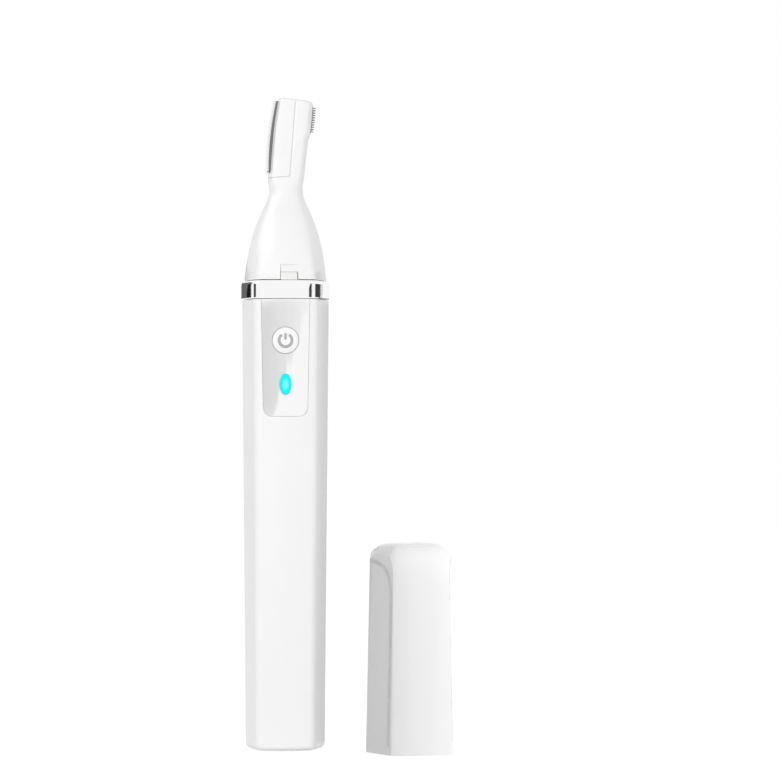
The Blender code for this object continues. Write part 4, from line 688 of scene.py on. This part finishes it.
# %% [markdown]
# ## Floor and backdrop
# The trimmer stands on a white table that melts into a white background. The floor gives off most of its
# whiteness to the camera and to mirrors, and still takes light, so the faint shadow at the foot stays. To
# the parts it is a plain white sheet, which throws the lamps' light up at them as white paper does.


# %% White floor
def glow_material(name):
    """A material with an output and a glow, not joined yet: its tree, the glow and the output's socket."""
    mat = bpy.data.materials.new(name)
    mat.use_nodes = True
    tree = mat.node_tree
    tree.nodes.clear()
    output = tree.nodes.new("ShaderNodeOutputMaterial")
    light = tree.nodes.new("ShaderNodeEmission")
    return mat, tree, light, output.inputs["Surface"]


def white_stage(name, glow, albedo, bounce):
    """Diffuse sheet that glows steadily for the camera and for mirrors, and bounces light to the parts."""
    mat, tree, light, surface = glow_material(name)
    rays = tree.nodes.new("ShaderNodeLightPath").outputs
    body = tree.nodes.new("ShaderNodeBsdfDiffuse")
    paper = blend(tree, rays["Is Diffuse Ray"], (albedo,) * 3, (bounce,) * 3)
    tree.links.new(paper, body.inputs["Color"])
    seen = rays["Is Camera Ray"]
    for other in ("Is Glossy Ray", "Is Transmission Ray"):
        seen = arithmetic(tree, "MAXIMUM", seen, rays[other])
    tree.links.new(arithmetic(tree, "MULTIPLY", seen, glow), light.inputs["Strength"])
    both = tree.nodes.new("ShaderNodeAddShader")
    tree.links.new(body.outputs[0], both.inputs[0])
    tree.links.new(light.outputs[0], both.inputs[1])
    tree.links.new(both.outputs[0], surface)
    return mat


FLOOR_TOP = -0.0002
floor_corners = np.array([(-3, -3, FLOOR_TOP), (3, -3, FLOOR_TOP), (3, 6, FLOOR_TOP), (-3, 6, FLOOR_TOP)])
floor = add_mesh("floor", floor_corners, [[0, 1, 2, 3]])
floor.data.materials.append(white_stage("table_white", glow=0.82, albedo=0.35, bounce=0.8))
print("floor at", FLOOR_TOP / MM, "mm")

# %% [markdown]
# ## World and lamps
# An even white sky fills the shadows. One large soft box stands in front, a little to the left, a weaker
# one at the right, and a third behind, which keeps the back from turning grey. In the photograph the cap
# is lit from the other side, so that its front grows brighter to the right: it has a small soft box close
# above it and one at its right for itself. Blender's light linking does this with collections that say
# which objects a lamp reaches.

# %% World
FILL = 0.56
world = bpy.data.worlds.new("studio")
bpy.context.scene.world = world
world.use_nodes = True
tree = world.node_tree
sky = tree.nodes["Background"]
rays = tree.nodes.new("ShaderNodeLightPath").outputs
level = map_range(tree, rays["Is Diffuse Ray"], 0.0, 1.0, 1.0, FILL)
tree.links.new(level, sky.inputs["Strength"])
sky.inputs["Color"].default_value = (1, 1, 1, 1)
print("sky: 1 to mirrors and the camera,", FILL, "to surfaces")


# %% Which objects a lamp reaches
def light_group(name, objects, state):
    """Collection for light linking: INCLUDE lights only these objects, and EXCLUDE lights all but these."""
    group = bpy.data.collections.new(name)
    for obj in objects:
        group.objects.link(obj)
    for entry in group.collection_objects:
        entry.light_linking.link_state = state
    return group


cap_pieces = (nodes["cap_shell"], *cap_painted_shade_lines)
only_cap = light_group("cap_lit_alone", cap_pieces, "INCLUDE")
all_but_cap = light_group("all_but_cap", cap_pieces, "EXCLUDE")
all_but_floor = light_group("all_but_floor", (floor,), "EXCLUDE")
print("lit apart:", [piece.name for piece in cap_pieces])


# %% Lamps
def soft_lamp(name, position, target, receivers, size, reach):
    """Square soft box aimed at a point; reach is its light there, as a share of a sky of strength 1."""
    data = bpy.data.lights.new(name, "AREA")
    data.shape = "SQUARE"
    data.size = size
    direction = np.array(target) - np.array(position)
    data.energy = reach * math.pi ** 2 * float(direction @ direction)
    lamp = bpy.data.objects.new(name, data)
    lamp.location = position
    tilt = math.atan2(math.hypot(direction[0], direction[1]), -direction[2])
    turn = math.atan2(direction[1], direction[0]) - math.pi / 2
    lamp.rotation_euler = (tilt, 0, turn)
    bpy.context.scene.collection.objects.link(lamp)
    lamp.visible_glossy = False
    lamp.light_linking.receiver_collection = receivers
    print(name, round(data.energy, 1), "W")
    return lamp


TRIMMER_MIDDLE = (0, 0, 0.07)
CAP_MIDDLE = (0.026, -0.005, 0.03)
soft_lamp("front_softbox", (-0.45, -1.25, 0.3), TRIMMER_MIDDLE, all_but_cap, size=0.7, reach=0.55)
side_lamp = soft_lamp("side_softbox", (1.2, -0.1, 0.28), TRIMMER_MIDDLE, all_but_cap, size=0.5, reach=0.19)
side_lamp.light_linking.blocker_collection = all_but_cap
soft_lamp("back_softbox", (0.35, 1.25, 0.4), TRIMMER_MIDDLE, all_but_floor, size=0.7, reach=0.3)
soft_lamp("cap_softbox", (0.06, -0.16, 0.15), CAP_MIDDLE, only_cap, size=0.06, reach=0.185)
soft_lamp("cap_side_softbox", (1.12, -0.45, 0.25), CAP_MIDDLE, only_cap, size=0.5, reach=0.47)

# %% [markdown]
# ## Cards for the reflections
# A photographer puts cards round a glossy thing and watches its reflections. The bands at both ends of
# the ring are small cards close by: the ring's side faces are flat mirrors, so each band is as wide as
# its card. A tall one draws the soft dark stripe down the right side of the handle. The panel shows the
# slanting border of a grey board in front of it, which is darker on its left, and the cone shows a bright
# box high at its left. Only mirrors see these cards, so they light nothing.

# %% Sheets of card
UNSEEN_BY = ("camera", "diffuse", "shadow", "transmission", "volume_scatter")


def at_height(row, height):
    """The same row of corners in X and Y, all at one height."""
    return np.column_stack([row[:, :2], np.full(len(row), height)])


def card(name, feet, heads, level, last=None, span=(0, 1)):
    """Sheet between a lower and an upper row of corners; its grey may ramp along X over span."""
    count = len(feet)
    index = np.arange(count - 1)
    quads = np.column_stack([index, index + 1, index + count + 1, index + count])
    obj = add_mesh(name, np.concatenate([feet, heads]), quads)
    mat, tree, light, surface = glow_material(name + "_paper")
    light.inputs["Strength"].default_value = level
    tree.links.new(light.outputs[0], surface)
    if last is not None:
        grey = map_range(tree, object_axes(tree)["X"], *span, level, last)
        tree.links.new(grey, light.inputs["Strength"])
    obj.data.materials.append(mat)
    for ray in UNSEEN_BY:
        setattr(obj, "visible_" + ray, False)
    print(name, "of", len(quads), "leaves")


def upright_card(name, path, level, low, high):
    """Strip standing on a path of points in X and Y, from a low to a high level, all in millimetres."""
    path = np.array(path) * MM
    card(name, at_height(path, low * MM), at_height(path, high * MM), level)


# %% Cards round the ring and along the handle
# Millimetres, as upright_card takes them.
RING_CARD_LOW, RING_CARD_HIGH, HANDLE_CARD_HIGH = 95.2, 105.5, 93
RING_CARDS = {
    "left_grey_card": ([(-8, 41), (-17, 38.7), (-31.5, 31.4), (-34.9, 28.2), (-34.3, 25.9)], 0.14),
    "left_black_card": ([(-34.3, 25.9), (-33.55, 23.4)], 0.005),
    "left_thin_card": ([(-46.5, -10.5), (-44.3, -20)], 0.06),
    "right_thin_card": ([(20.35, -45.3), (21.4, -44.95)], 0.03),
    "right_grey_card": ([(44, -26), (46.8, -12), (45, 2), (41.4, 12.4), (33.5, 23.6)], 0.05),
    "right_line_card": ([(33.95, 24.45), (34.12, 25)], 0.5),
}
for name, (path, grey) in RING_CARDS.items():
    upright_card(name, path, grey, RING_CARD_LOW, RING_CARD_HIGH)
handle_path = [(14.85, 2.9), (15.7, 5.4), (14.6, 8), (12.5, 10)]
upright_card("handle_card", handle_path, 0.35, 0, HANDLE_CARD_HIGH)

# %% Board in front of the panel and bright box at the left
BOARD_Y, BOARD_TOP = -0.309, 0.1028
board_feet = np.array([(-0.175, BOARD_Y, 0.0665), (-0.083, BOARD_Y, 0.0665), (0.139, BOARD_Y, 0.1018)])
board_heads = at_height(board_feet, BOARD_TOP)
card("panel_board", board_feet, board_heads, level=0.02, last=0.65, span=(-0.13, 0.12))

BOX_X, BOX_TOP = -0.5, 0.66
box_feet = np.array([(BOX_X, 0.3, 0.27), (BOX_X, -0.24, 0.37), (BOX_X, -0.6, 0.46), (BOX_X, -0.9, 0.55)])
card("high_left_card", box_feet, at_height(box_feet, BOX_TOP), level=2.7)

# %% [markdown]
# ## Colour management and the end
# Standard view keeps each colour as it is written.

# %% Finish
bpy.context.scene.view_settings.view_transform = "Standard"
